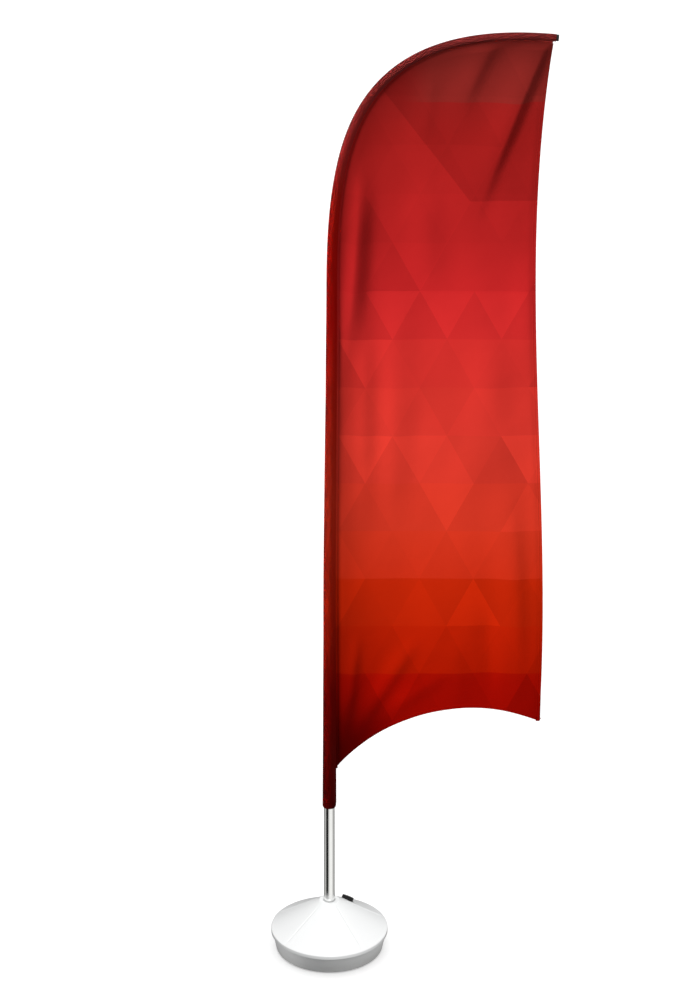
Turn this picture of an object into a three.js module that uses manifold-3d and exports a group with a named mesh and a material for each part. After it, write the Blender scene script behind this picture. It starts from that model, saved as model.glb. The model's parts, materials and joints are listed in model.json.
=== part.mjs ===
// Feather flag on a water-filled base. Millimetres, +Z up. The origin is on the floor under the mast,
// +X points from the mast to the flag's free edge, and -Y is the front.
import * as THREE from "three";
import { mergeVertices } from "three/addons/utils/BufferGeometryUtils.js";
import Module from "manifold-3d";

const wasm = await Module();
wasm.setup();

// ---- Gaps ----
const touch_gap = 0.3; // between faces that rest on each other
const slide_gap = 0.4; // between pieces that slide or turn past each other
const bend_gap = 1.6; // between bent pieces whose straight facets differ in length

// ---- Base tank ----
const rim_radius = 190;
const foot_radius = 173; // where the tapered wall meets the floor
const lip_bottom_z = 61;
const rim_z = 74.5; // top of the lip, where the cone starts
const rim_edge_round = 2;
const plateau_z = 177;
const plateau_radius = 32;
const tank_wall = 4;
const lip_wall = 4;
const seam_land_width = 16; // flat ring inside the lip that the seam seal presses on
const seam_z = 70;
const seal_thickness = 1.5;
const foot_ring_height = 3;
const foot_ring_width = 16;
const foot_ring_inset = 8;
const recess_top_z = 13; // room under the tank for the bearing flange and its screws
const recess_margin = 3; // round that flange
const cover_thickness = 2.5;

// ---- Well and bearing housing ----
const well_flange_height = 12;
const housing_wall = 4.4;
const housing_flange_thickness = 4;
const housing_lip_thickness = 4;
const housing_screw_count = 4;
const screw_inset = 10; // from the well's bore to the screws
const screw_margin = 7; // from the screws to the flange's edge
const screw_radius = 2;
const screw_head_radius = 4;
const screw_head_height = 3;
const screw_depth = 8; // length of screw held in the well's flange

// ---- Bearings ----
const bearing_bore = 20;
const bearing_outside = 42;
const bearing_width = 12;
const lower_bearing_z = 20;
const upper_bearing_drop = 37.5; // below the plateau
const ball_count = 8;
const ball_radius = 3.1;
const clip_thickness = 1.2;

// ---- Spindle and mast ----
const spindle_collar_inset = 0.5; // inside the mast's outer face
const spindle_collar_lift = 2.2; // above the housing's lip
const spindle_collar_height = 4;
const spigot_radius = 10.9;
const spigot_length = 168;
const spigot_nose = 5;
const mast_radius = 17.5;
const mast_wall = 1.8;
const joint_overlap = 150; // how far each upper section plugs into the one below
const lower_top_s = 1250;
const middle_top_s = 2300;
const middle_wall = 1.6;
const upper_tip_radius = 5;
const stop_ring_height = 12;
const bush_length = 36;
const seal_ring_height = 2;
const seal_ring_width = 2.2;

// ---- Mast's centre line: straight, then a slight lean, then the arch ----
const lean = 8;
const arch_start_z = 2470;
const arch_rise = 495; // how far the arch keeps climbing before it turns over
const tip_x = 729;
const tip_z = 3370;
const arch_reach = 676; // how long it runs level before the tip
const tip_droop = 0.1; // radians below level at the tip

// ---- Flag ----
const cloth = 1; // thickness of the panel and of the sleeve's wall
const hem_cloth = 1.6;
const hem_width = 12;
const sleeve_bottom_s = 532;
const cuff_length = 18;
const cuff_draw_in = 1.6; // how much narrower the gathered end is
const sleeve_ease = 4.8; // between the lower mast and the outside of the sleeve
const sleeve_upper_ease = 2.6; // the same above the middle mast
const pocket_webbing = 6; // from the tip cap's plug to the outside of the sleeve
const panel_foot_s = 676;
const fly_top_setback = 17; // from the mast's tip back to the free edge
const fly_top_drop = 18;
const fly_foot = new THREE.Vector2(681, 853);
const fly_handle = 875; // length of both curve handles of the free edge
const fly_top_angle = 0.136; // from the vertical
const fly_foot_angle = 0.049;
const hollow_handle = 262; // length of both curve handles of the hollow bottom edge
const hollow_near_angle = 0.92; // above level, beside the mast
const hollow_far_angle = 0.43; // above level, at the free edge
const tip_cap_radius = 10.7;
const tip_cap_length = 8;
const tip_plug_length = 22;
const tip_plug_radius = 8;

// ---- Filler ----
const filler_angle = (48 * Math.PI) / 180;
const filler_distance = 88; // from the mast's axis
const pocket_margin = 5.5; // finger room round the cap
const pocket_depth = 7;
const neck_radius = 13.4;
const neck_wall = 2.9;
const neck_height = 3; // above the cone
const cap_wall = 3.1;
const cap_top_thickness = 3.4;
const cap_ribs = 24;
const cap_rib_depth = 0.8;
const thread_pitch = 4;
const thread_width = 1.6;
const thread_height = 1.3;
const thread_room = 1.7; // from the neck's thread to the cap's bore

// ---- Helpers ----
const v2 = (x, y) => new THREE.Vector2(x, y);

function toSolid(geometry) {
  const bare = new THREE.BufferGeometry();
  bare.setAttribute("position", geometry.getAttribute("position"));
  bare.setIndex(geometry.getIndex());
  const merged = mergeVertices(bare, 1e-3);
  return new wasm.Manifold(
    new wasm.Mesh({
      numProp: 3,
      vertProperties: merged.attributes.position.array,
      triVerts: new Uint32Array(merged.index.array),
    }),
  );
}

function toGeometry(solid) {
  const mesh = solid.getMesh();
  const geometry = new THREE.BufferGeometry();
  geometry.setAttribute("position", new THREE.BufferAttribute(mesh.vertProperties, 3));
  geometry.setIndex(new THREE.BufferAttribute(mesh.triVerts, 1));
  return geometry;
}

const join = (a, b) => toGeometry(toSolid(a).add(toSolid(b)));
const cut = (a, b) => toGeometry(toSolid(a).subtract(toSolid(b)));
const common = (a, b) => toGeometry(toSolid(a).intersect(toSolid(b)));

// Turns a closed outline of [radius, height] pairs about Z. An outline that touches the axis starts
// and ends on it; a ring's outline is closed here.
function turned(outline, sides) {
  const points = outline.map(([radius, height]) => v2(radius, height));
  const onAxis = points[0].x === 0;
  if (!onAxis) points.push(points[0].clone());
  if (THREE.ShapeUtils.area(points) < 0) points.reverse();
  return new THREE.LatheGeometry(points, sides).rotateX(Math.PI / 2);
}

// A plain tube or disc with its axis on Z.
function ring(inner, outer, bottom, top, sides) {
  return turned(
    [
      [inner, bottom],
      [outer, bottom],
      [outer, top],
      [inner, top],
    ],
    sides,
  );
}

function rod(radius, bottom, top, sides) {
  return turned(
    [
      [0, bottom],
      [radius, bottom],
      [radius, top],
      [0, top],
    ],
    sides,
  );
}

// A flat plate in the XZ plane, centred on Y = 0.
function plate(outline, thickness) {
  const options = { depth: thickness, bevelEnabled: false };
  return new THREE.ExtrudeGeometry(new THREE.Shape(outline), options)
    .rotateX(Math.PI / 2)
    .translate(0, thickness / 2, 0);
}

// A spring clip: a flat ring with a gap in it.
function openRing(inner, outer, bottom, gap_angle) {
  const shape = new THREE.Shape();
  shape.absarc(0, 0, outer, gap_angle / 2, 2 * Math.PI - gap_angle / 2, false);
  shape.absarc(0, 0, inner, 2 * Math.PI - gap_angle / 2, gap_angle / 2, true);
  const options = { depth: clip_thickness, bevelEnabled: false, curveSegments: 12 };
  return new THREE.ExtrudeGeometry(shape, options).translate(0, 0, bottom);
}

function finish(color, roughness, metalness = 0) {
  return new THREE.MeshStandardMaterial({ color, roughness, metalness });
}

const white_plastic = () => finish(0xf2f2f1, 0.28);
const black_plastic = () => finish(0x101012, 0.45);
const nylon = () => finish(0xe4e2dc, 0.5);
const rubber = () => finish(0x1b1b1b, 0.8);
const polished_tube = () => finish(0xd9dbdd, 0.08, 1);
const steel = () => finish(0xa6a8aa, 0.35, 1);
const fibreglass = () => finish(0x1d1d1e, 0.4);
const red_cloth = () => finish(0xcb3330, 0.85);
const dark_red_cloth = () => finish(0x7c150c, 0.85);

const flag = new THREE.Group();

function add(name, geometry, material, parent = flag) {
  const mesh = new THREE.Mesh(geometry, material);
  mesh.name = name;
  parent.add(mesh);
}

// ---- Sizes that follow from others ----
const housing_bore = bearing_outside / 2 + touch_gap;
const housing_outer = housing_bore + housing_wall;
const well_radius = housing_outer + touch_gap;
const housing_screw_circle = well_radius + screw_inset;
const housing_flange_radius = housing_screw_circle + screw_margin;
const recess_radius = housing_flange_radius + recess_margin;
const well_flange_radius = recess_radius;
const upper_bearing_z = plateau_z - upper_bearing_drop;
const spindle_collar_radius = mast_radius - spindle_collar_inset;
const neck_bore = neck_radius - neck_wall;
const cap_bore = neck_radius + thread_height + thread_room;
const cap_radius = cap_bore + cap_wall;
const pocket_radius = cap_radius + pocket_margin;

// ---- Tank: an upper shell with a well for the bearings, a pan below it and a cup in its floor ----
const tank_sides = 36;
const sides = 24; // facets of the smaller turned pieces
const pan_bottom_z = foot_ring_height + touch_gap;
const pan_floor_z = pan_bottom_z + tank_wall;
const recess_floor_z = recess_top_z + tank_wall;
const well_foot_z = recess_floor_z + seal_thickness + 2 * touch_gap;
const skirt_radius = rim_radius - lip_wall;
const pan_top_radius = skirt_radius - touch_gap;
const land_radius = skirt_radius - seam_land_width;
const recess_outer = recess_radius + tank_wall;
const land_z = seam_z + seal_thickness + 2 * touch_gap;
const cone_edge = rim_radius - rim_edge_round;
const cone_slope = (plateau_z - rim_z) / (cone_edge - plateau_radius);
const cone_angle = Math.atan(cone_slope);
const cone_drop = tank_wall / Math.cos(cone_angle); // wall measured straight down
const mast_hole = mast_radius + 1.5;
const plateau_under_z = plateau_z - tank_wall;

const coneZ = (radius) => plateau_z - (radius - plateau_radius) * cone_slope;

function upperShell() {
  return turned(
    [
      [rim_radius, lip_bottom_z],
      [rim_radius, rim_z - rim_edge_round],
      [cone_edge, rim_z],
      [plateau_radius, plateau_z],
      [mast_hole, plateau_z],
      [mast_hole, plateau_under_z],
      [well_radius, plateau_under_z],
      [well_radius, well_foot_z],
      [well_flange_radius, well_foot_z],
      [well_flange_radius, well_foot_z + well_flange_height],
      [well_radius + tank_wall, well_foot_z + well_flange_height],
      [well_radius + tank_wall, coneZ(well_radius + tank_wall) - cone_drop],
      [land_radius, coneZ(land_radius) - cone_drop],
      [land_radius, land_z],
      [skirt_radius, land_z],
      [skirt_radius, lip_bottom_z],
    ],
    tank_sides,
  );
}

function coneBody() {
  return turned(
    [
      [0, lip_bottom_z],
      [cone_edge, lip_bottom_z],
      [cone_edge, rim_z],
      [plateau_radius, plateau_z],
      [0, plateau_z],
    ],
    tank_sides,
  );
}

function lowerPan() {
  const wall_z = lip_bottom_z - touch_gap;
  const wall_radius = pan_top_radius - touch_gap;
  return turned(
    [
      [foot_radius, pan_bottom_z],
      [wall_radius, wall_z],
      [pan_top_radius, seam_z],
      [land_radius, seam_z],
      [land_radius, seam_z - tank_wall],
      [pan_top_radius - tank_wall, seam_z - tank_wall],
      [wall_radius - tank_wall, wall_z],
      [foot_radius - tank_wall, pan_floor_z],
      [recess_outer + touch_gap, pan_floor_z],
      [recess_outer + touch_gap, pan_bottom_z],
    ],
    tank_sides,
  );
}

// The cup welded into the hole in the pan's floor. The well's flange is screwed down onto its top.
function recessCup() {
  return turned(
    [
      [recess_outer, pan_bottom_z],
      [recess_outer, recess_floor_z],
      [well_radius + touch_gap, recess_floor_z],
      [well_radius + touch_gap, recess_top_z],
      [recess_radius, recess_top_z],
      [recess_radius, pan_bottom_z],
    ],
    tank_sides,
  );
}

// The filler's own frame: its origin on the cone, its Z out of the cone.
const filler_axis = new THREE.Vector3(
  Math.sin(cone_angle) * Math.cos(filler_angle),
  Math.sin(cone_angle) * Math.sin(filler_angle),
  Math.cos(cone_angle),
);
const filler_point = new THREE.Vector3(
  filler_distance * Math.cos(filler_angle),
  filler_distance * Math.sin(filler_angle),
  coneZ(filler_distance),
);
const filler_turn = new THREE.Quaternion().setFromUnitVectors(
  new THREE.Vector3(0, 0, 1),
  filler_axis,
);

function atFiller(geometry) {
  return geometry.applyQuaternion(filler_turn).translate(...filler_point.toArray());
}

// A right-hand thread's ridge: a straight bar whose X is the angle turned, wound into a helix.
function threadRidge(inner, outer, bottom, turns) {
  const angle = 2 * Math.PI * turns;
  const bar = new THREE.BoxGeometry(angle, outer - inner, thread_width, 16 * turns, 1, 1);
  const position = bar.getAttribute("position");
  for (let i = 0; i < position.count; i++) {
    const turn = angle / 2 - position.getX(i);
    const radius = position.getY(i) + (inner + outer) / 2;
    const height = position.getZ(i) + bottom + (thread_pitch * turn) / (2 * Math.PI);
    position.setXYZ(i, radius * Math.cos(turn), radius * Math.sin(turn), height);
  }
  return bar;
}

// Screw holes and screws stand on one circle, turned away from the main axes.
function atScrews(make) {
  return Array.from({ length: housing_screw_count }, (_, i) => {
    const angle = (2 * Math.PI * (i + 0.5)) / housing_screw_count;
    const x = housing_screw_circle * Math.cos(angle);
    const y = housing_screw_circle * Math.sin(angle);
    return make().translate(x, y, 0);
  });
}

const screw_top_z = well_foot_z + screw_depth;
const screwHole = (bottom, top) =>
  atScrews(() => rod(screw_radius + touch_gap, bottom, top, 12)).reduce(join);

function fillerPocket(shell) {
  const cup_bottom = -pocket_depth - tank_wall;
  const cup = atFiller(rod(pocket_radius + tank_wall, cup_bottom, pocket_radius, sides));
  const hollow = atFiller(rod(pocket_radius, -pocket_depth, 2 * pocket_radius, sides));
  const neck = join(
    rod(neck_radius, -pocket_depth - tank_wall / 2, neck_height, sides),
    threadRidge(neck_radius - 0.4, neck_radius + thread_height, -pocket_depth + 1.8, 1),
  );
  const bore = rod(neck_bore, cup_bottom - tank_wall, neck_height + tank_wall, sides);
  const walled = join(shell, common(cup, coneBody()));
  return cut(join(cut(walled, hollow), atFiller(neck)), atFiller(bore));
}

const shell = cut(fillerPocket(upperShell()), screwHole(well_foot_z - 5, screw_top_z + touch_gap));
add("base_top_shell", shell, white_plastic());
add("base_bottom_pan", lowerPan(), white_plastic());
const cup = cut(recessCup(), screwHole(recess_top_z - 5, recess_floor_z + 1));
add("base_recess_cup", cup, white_plastic());
const seam_seal_z = seam_z + touch_gap;
add(
  "seam_seal",
  ring(land_radius + 3, pan_top_radius - 3, seam_seal_z, seam_seal_z + seal_thickness, tank_sides),
  rubber(),
);
const well_seal_z = recess_floor_z + touch_gap;
add(
  "well_seal",
  ring(
    housing_screw_circle + screw_head_radius + 1,
    well_flange_radius - 1,
    well_seal_z,
    well_seal_z + seal_thickness,
    tank_sides,
  ),
  rubber(),
);
const foot_ring_outer = foot_radius - foot_ring_inset;
add(
  "rubber_foot_ring",
  ring(foot_ring_outer - foot_ring_width, foot_ring_outer, 0, foot_ring_height, tank_sides),
  rubber(),
);

// ---- Filler cap and its gasket ----
const gasket_z = neck_height + touch_gap;
const cap_roof_z = gasket_z + seal_thickness + touch_gap;
const cap_top_z = cap_roof_z + cap_top_thickness;
const cap_skirt_z = -pocket_depth + 1;

function fillerCap() {
  const outline = Array.from({ length: 2 * cap_ribs }, (_, i) => {
    const radius = cap_radius - (i % 2) * cap_rib_depth;
    const angle = (Math.PI * i) / cap_ribs;
    return v2(radius * Math.cos(angle), radius * Math.sin(angle));
  });
  const options = { depth: cap_top_z - cap_skirt_z, bevelEnabled: false };
  const body = new THREE.ExtrudeGeometry(new THREE.Shape(outline), options);
  body.translate(0, 0, cap_skirt_z);
  const hollow = rod(cap_bore, cap_skirt_z - 1, cap_roof_z, sides);
  const crest = neck_radius + slide_gap;
  const thread = threadRidge(crest, cap_bore + 0.6, cap_skirt_z + 2.8, 1);
  return join(cut(body, hollow), thread);
}

add("filler_cap", atFiller(fillerCap()), black_plastic());
const gasket = ring(neck_bore, cap_bore - 1, gasket_z, gasket_z + seal_thickness, sides);
add("filler_gasket", atFiller(gasket), rubber());

// ---- Bearing housing and what is in it ----
const flange_top_z = recess_top_z - touch_gap;
const flange_bottom_z = flange_top_z - housing_flange_thickness;
const bearing_top_z = upper_bearing_z + bearing_width;
const housing_lip_z = bearing_top_z + touch_gap;
const clip_top_z = lower_bearing_z - touch_gap;
const clip_bottom_z = clip_top_z - clip_thickness;
const groove_depth = 2;
const shoulder_radius = 13;

function bearingHousing() {
  const groove = housing_bore + groove_depth;
  return turned(
    [
      [housing_flange_radius, flange_bottom_z],
      [housing_flange_radius, flange_top_z],
      [housing_outer, flange_top_z],
      [housing_outer, housing_lip_z + housing_lip_thickness],
      [shoulder_radius + 1, housing_lip_z + housing_lip_thickness],
      [shoulder_radius + 1, housing_lip_z],
      [housing_bore, housing_lip_z],
      [housing_bore, clip_top_z + touch_gap],
      [groove, clip_top_z + touch_gap],
      [groove, clip_bottom_z - touch_gap],
      [housing_bore, clip_bottom_z - touch_gap],
      [housing_bore, flange_bottom_z],
    ],
    sides,
  );
}

add(
  "bearing_housing",
  cut(bearingHousing(), screwHole(flange_bottom_z - 1, flange_top_z + 1)),
  steel(),
);

// One countersunk cross slot in a pan head is enough for a driver.
function housingScrew() {
  const head_top = flange_bottom_z - touch_gap;
  const head_bottom = head_top - screw_head_height;
  const blank = turned(
    [
      [0, head_bottom],
      [screw_head_radius - 1, head_bottom],
      [screw_head_radius, head_bottom + 1],
      [screw_head_radius, head_top],
      [screw_radius, head_top],
      [screw_radius, screw_top_z - 1],
      [screw_radius / 2, screw_top_z],
      [0, screw_top_z],
    ],
    12,
  );
  const slot = new THREE.BoxGeometry(screw_head_radius, 1, 2).translate(0, 0, head_bottom);
  const slots = join(slot, slot.clone().rotateZ(Math.PI / 2));
  return cut(blank, slots);
}

atScrews(housingScrew).forEach((screw, i) => add("housing_screw_" + (i + 1), screw, steel()));

// A ball bearing: two grooved rings, and the balls in their cage.
const race_bore = bearing_bore / 2;
const race_outer = bearing_outside / 2;
const ball_circle = (race_bore + race_outer) / 2 - 0.2;
const land_inner = ball_circle - 2.1;
const land_outer = ball_circle + 2.1;
const groove_inner = ball_circle - ball_radius - slide_gap;
const groove_outer = ball_circle + ball_radius + slide_gap;

function race(back, land, groove, bottom) {
  return turned(
    [
      [back, bottom],
      [land, bottom],
      [land, bottom + bearing_width * 0.25],
      [groove, bottom + bearing_width * 0.38],
      [groove, bottom + bearing_width * 0.62],
      [land, bottom + bearing_width * 0.75],
      [land, bottom + bearing_width],
      [back, bottom + bearing_width],
    ],
    sides,
  );
}

function ballCage(bottom) {
  const middle = bottom + bearing_width / 2;
  let cage = ring(ball_circle - 0.7, ball_circle + 0.7, middle - 1, middle + 1, sides);
  for (let i = 0; i < ball_count; i++) {
    const angle = (2 * Math.PI * i) / ball_count;
    const ball = new THREE.SphereGeometry(ball_radius, 6, 5);
    ball.translate(ball_circle * Math.cos(angle), ball_circle * Math.sin(angle), middle);
    cage = join(cage, ball);
  }
  return cage;
}

for (const [name, bottom] of [
  ["lower", lower_bearing_z],
  ["upper", upper_bearing_z],
]) {
  add(name + "_outer_race", race(race_outer, land_outer, groove_outer, bottom), steel());
  add(name + "_inner_race", race(race_bore, land_inner, groove_inner, bottom), steel());
  add(name + "_ball_cage", ballCage(bottom), steel());
}
const spacer_bottom = lower_bearing_z + bearing_width + touch_gap;
const spacer_top = upper_bearing_z - touch_gap;
add(
  "outer_spacer",
  ring(land_outer + 1, race_outer, spacer_bottom, spacer_top, sides),
  steel(),
);
const shaft_radius = race_bore - touch_gap;
add(
  "inner_spacer",
  ring(race_bore, land_inner - 1, spacer_bottom, spacer_top, sides),
  nylon(),
);
const clip_outer = housing_bore + groove_depth - touch_gap;
add("housing_clip", openRing(land_outer + 1.5, clip_outer, clip_bottom_z, 0.7), steel());
const spindle_groove = shaft_radius - 1.2;
add(
  "spindle_clip",
  openRing(spindle_groove + touch_gap, land_inner, clip_bottom_z, 1.2),
  steel(),
);

// ---- Spindle: shaft in the bearings, collar for the mast's foot, spigot inside the mast ----
const spindle_collar_z = housing_lip_z + housing_lip_thickness + spindle_collar_lift;
const collar_top_z = spindle_collar_z + spindle_collar_height;
const spigot_top_z = collar_top_z + spigot_length;
const shaft_foot_z = clip_bottom_z - 4;

function spindle() {
  return turned(
    [
      [0, shaft_foot_z],
      [shaft_radius, shaft_foot_z],
      [shaft_radius, clip_bottom_z - touch_gap],
      [spindle_groove, clip_bottom_z - touch_gap],
      [spindle_groove, clip_top_z + touch_gap],
      [shaft_radius, clip_top_z + touch_gap],
      [shaft_radius, bearing_top_z + touch_gap],
      [shoulder_radius, bearing_top_z + touch_gap],
      [shoulder_radius, spindle_collar_z],
      [spindle_collar_radius, spindle_collar_z],
      [spindle_collar_radius, collar_top_z],
      [spigot_radius, collar_top_z],
      [spigot_radius, spigot_top_z - spigot_nose],
      [spigot_radius - 1.5, spigot_top_z],
      [0, spigot_top_z],
    ],
    sides,
  );
}

add("spindle", spindle(), steel());
const cover_radius = recess_radius - 0.6;
add(
  "service_cover",
  turned(
    [
      [0, 0],
      [cover_radius, 0],
      [cover_radius, pan_floor_z],
      [cover_radius - 1.6, pan_floor_z],
      [cover_radius - 1.6, cover_thickness],
      [0, cover_thickness],
    ],
    tank_sides,
  ),
  black_plastic(),
);
const seal_inner = mast_radius + slide_gap;
const seal_bottom = plateau_z + touch_gap;
add(
  "mast_seal_ring",
  ring(seal_inner, seal_inner + seal_ring_width, seal_bottom, seal_bottom + seal_ring_height, 24),
  finish(0x8d8f90, 0.6),
);

// ---- Mast ----
// The centre line starts at the origin, so a distance s along its straight part is also a height.
const lean_start = new THREE.Vector3(0, 0, lower_top_s);
const arch_start = new THREE.Vector3(lean, 0, arch_start_z);
const mast_tip = new THREE.Vector3(tip_x, 0, tip_z);
const lean_handle = (arch_start_z - lower_top_s) / 3;
const mast_line = new THREE.CurvePath();
mast_line.add(new THREE.LineCurve3(new THREE.Vector3(0, 0, 0), lean_start));
mast_line.add(
  new THREE.CubicBezierCurve3(
    lean_start,
    new THREE.Vector3(0, 0, lower_top_s + lean_handle),
    new THREE.Vector3(lean, 0, arch_start_z - lean_handle),
    arch_start,
  ),
);
mast_line.add(
  new THREE.CubicBezierCurve3(
    arch_start,
    new THREE.Vector3(lean, 0, arch_start_z + arch_rise),
    new THREE.Vector3(
      tip_x - arch_reach * Math.cos(tip_droop),
      0,
      tip_z + arch_reach * Math.sin(tip_droop),
    ),
    mast_tip,
  ),
);
const mast_end_s = mast_line.getLength();

// The point of the centre line at s, and the direction towards the panel there.
function mastAt(s) {
  const share = Math.min(Math.max(s / mast_end_s, 0), 1);
  const point = mast_line.getPoint(share);
  const along = mast_line.getTangent(share);
  return { point, side: new THREE.Vector3(along.z, 0, -along.x) };
}

// Lays a piece that was turned about Z along the mast: its height becomes the distance s.
function alongMast(geometry) {
  const position = geometry.getAttribute("position");
  for (let i = 0; i < position.count; i++) {
    const { point, side } = mastAt(position.getZ(i));
    const out = position.getX(i);
    position.setXYZ(i, point.x + side.x * out, position.getY(i), point.z + side.z * out);
  }
  return geometry;
}

const steps = (from, to, count) =>
  Array.from({ length: count + 1 }, (_, i) => from + ((to - from) * i) / count);

// A hollow piece along the mast, with radii that may change from station to station.
function mastTube(outer, inner, stations, tube_sides) {
  const outside = stations.map((s) => [outer(s), s]);
  const inside = stations.map((s) => [inner(s), s]).reverse();
  return alongMast(turned([...outside, ...inside], tube_sides));
}

const steady = (radius) => () => radius;
const mast_foot_z = collar_top_z + touch_gap;
const mast_bore = mast_radius - mast_wall;
add("mast_lower", ring(mast_bore, mast_radius, mast_foot_z, lower_top_s, 24), polished_tube());
const bush_bore = spigot_radius + slide_gap;
const bush_outer = mast_bore - touch_gap;
add("mast_foot_bush", ring(bush_bore, bush_outer, mast_foot_z, mast_foot_z + bush_length, sides), nylon());
const guide_top = spigot_top_z - spigot_nose - 2;
add("mast_guide_bush", ring(bush_bore, bush_outer, guide_top - bush_length, guide_top, sides), nylon());

const middle_radius = mast_bore - touch_gap;
const middle_bore = middle_radius - middle_wall;
add(
  "mast_middle",
  mastTube(
    steady(middle_radius),
    steady(middle_bore),
    steps(lower_top_s - joint_overlap, middle_top_s, 8),
    16,
  ),
  steel(),
);
const upper_radius = middle_bore - touch_gap;
const tip_bottom_s = mast_end_s - tip_cap_length;
const plug_foot_s = tip_bottom_s - tip_plug_length;
const rod_end_s = mast_end_s - 3;
const upperRadius = (s) => {
  const share = Math.max(0, (s - middle_top_s) / (rod_end_s - middle_top_s));
  return upper_radius + (upper_tip_radius - upper_radius) * share;
};

function mastUpper() {
  const foot = middle_top_s - joint_overlap;
  const stations = [foot, ...steps(middle_top_s, plug_foot_s, 20), rod_end_s];
  const outside = stations.map((s) => [upperRadius(s), s]);
  return alongMast(turned([[0, foot], ...outside, [0, rod_end_s]], 16));
}

add("mast_upper", mastUpper(), fibreglass());

function stopRing(inner, outer, from) {
  const bottom = from + touch_gap;
  return mastTube(steady(outer), steady(inner), [bottom, bottom + stop_ring_height], 16);
}

add(
  "middle_stop_ring",
  stopRing(middle_radius + touch_gap, mast_radius - 0.2, lower_top_s),
  black_plastic(),
);
add(
  "upper_stop_ring",
  stopRing(upper_radius + touch_gap, middle_radius, middle_top_s),
  black_plastic(),
);

// ---- Sleeve, cuff and tip ----
// The sleeve narrows evenly from its foot to the top of the middle mast, and again to the tip.
const sleeve_bottom_radius = mast_radius + sleeve_ease;
const sleeve_middle_radius = middle_radius + sleeve_upper_ease;
const sleeve_tip_radius = tip_plug_radius + pocket_webbing;
const sleeve_middle_s = middle_top_s + stop_ring_height;
const sleeveRadius = (s) =>
  s < sleeve_middle_s
    ? THREE.MathUtils.mapLinear(
        s,
        sleeve_bottom_s,
        sleeve_middle_s,
        sleeve_bottom_radius,
        sleeve_middle_radius,
      )
    : THREE.MathUtils.mapLinear(
        s,
        sleeve_middle_s,
        mast_end_s,
        sleeve_middle_radius,
        sleeve_tip_radius,
      );
const cuff_top_s = sleeve_bottom_s + cuff_length;
const sleeve_top_s = tip_bottom_s - touch_gap;
const sleeve_stations = [
  ...steps(cuff_top_s + touch_gap, sleeve_middle_s, 5),
  ...steps(sleeve_middle_s, sleeve_top_s, 33).slice(1),
];
add(
  "pole_sleeve",
  mastTube(sleeveRadius, (s) => sleeveRadius(s) - cloth, sleeve_stations, 12),
  dark_red_cloth(),
);
const cuffRadius = (s) =>
  sleeve_bottom_radius - (cuff_draw_in * (cuff_top_s - s)) / cuff_length - 0.2;
add(
  "sleeve_cuff",
  mastTube(cuffRadius, (s) => cuffRadius(s) - 2 * cloth, [sleeve_bottom_s, cuff_top_s], 16),
  dark_red_cloth(),
);

// The cap's plug takes the mast's end, and the pocket ring inside the sleeve's end holds the plug.
function tipCap() {
  const socket = upper_tip_radius + bend_gap;
  return alongMast(
    turned(
      [
        [0, rod_end_s + touch_gap],
        [socket, rod_end_s + touch_gap],
        [socket, plug_foot_s],
        [tip_plug_radius, plug_foot_s],
        [tip_plug_radius, tip_bottom_s],
        [tip_cap_radius, tip_bottom_s],
        [tip_cap_radius, mast_end_s - 1.5],
        [tip_cap_radius - 1.5, mast_end_s],
        [0, mast_end_s],
      ],
      16,
    ),
  );
}

add("mast_tip_cap", tipCap(), black_plastic());
add(
  "tip_pocket",
  mastTube(
    (s) => sleeveRadius(s) - cloth - bend_gap,
    steady(tip_plug_radius + touch_gap),
    [plug_foot_s, sleeve_top_s],
    16,
  ),
  black_plastic(),
);

// ---- Panel and its hems ----
// A curve between two points whose handles leave them in the given directions.
function edge(start, start_direction, end, end_direction, handle, count) {
  const first = start.clone().addScaledVector(start_direction, handle);
  const second = end.clone().addScaledVector(end_direction, handle);
  return new THREE.CubicBezierCurve(start, first, second, end).getSpacedPoints(count);
}

const direction = (angle) => v2(Math.cos(angle), Math.sin(angle));

// Moves a line of points sideways, to the left of the way it runs.
function beside(points, distance) {
  return points.map((point, i) => {
    const before = points[Math.max(i - 1, 0)];
    const after = points[Math.min(i + 1, points.length - 1)];
    const way = after.clone().sub(before).normalize();
    return v2(point.x - way.y * distance, point.y + way.x * distance);
  });
}

// Carries a line of points straight on past both of its ends.
function longer(points, by) {
  const [first, second] = points;
  const [before, last] = points.slice(-2);
  const start = first.clone().add(first.clone().sub(second).setLength(by));
  const end = last.clone().add(last.clone().sub(before).setLength(by));
  return [start, ...points, end];
}

const mast_side = steps(panel_foot_s, mast_end_s - 17, 32).map((s) => {
  const { point, side } = mastAt(s);
  const out = sleeveRadius(s) + bend_gap;
  return v2(point.x + side.x * out, point.z + side.z * out);
});
const corner = mast_side[0];
const fly_top = v2(tip_x - fly_top_setback, tip_z - fly_top_drop);
const quarter = Math.PI / 2;
const fly = edge(
  fly_foot,
  direction(quarter - fly_foot_angle),
  fly_top,
  direction(-quarter - fly_top_angle),
  fly_handle,
  24,
);
const hollow = edge(
  corner,
  direction(hollow_near_angle),
  fly_foot,
  direction(Math.PI - hollow_far_angle),
  hollow_handle,
  20,
);
// The outline runs along the hollow bottom edge, up the free edge and back down the mast's side.
const outline = [...hollow.slice(0, -1), ...fly, ...mast_side.slice(1).reverse()];

// A band along an edge: from past the edge to a distance inside it.
function band(points, width, thickness) {
  const run = longer(points, hem_width);
  return plate([...beside(run, -hem_width), ...beside(run, width).reverse()], thickness);
}

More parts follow.
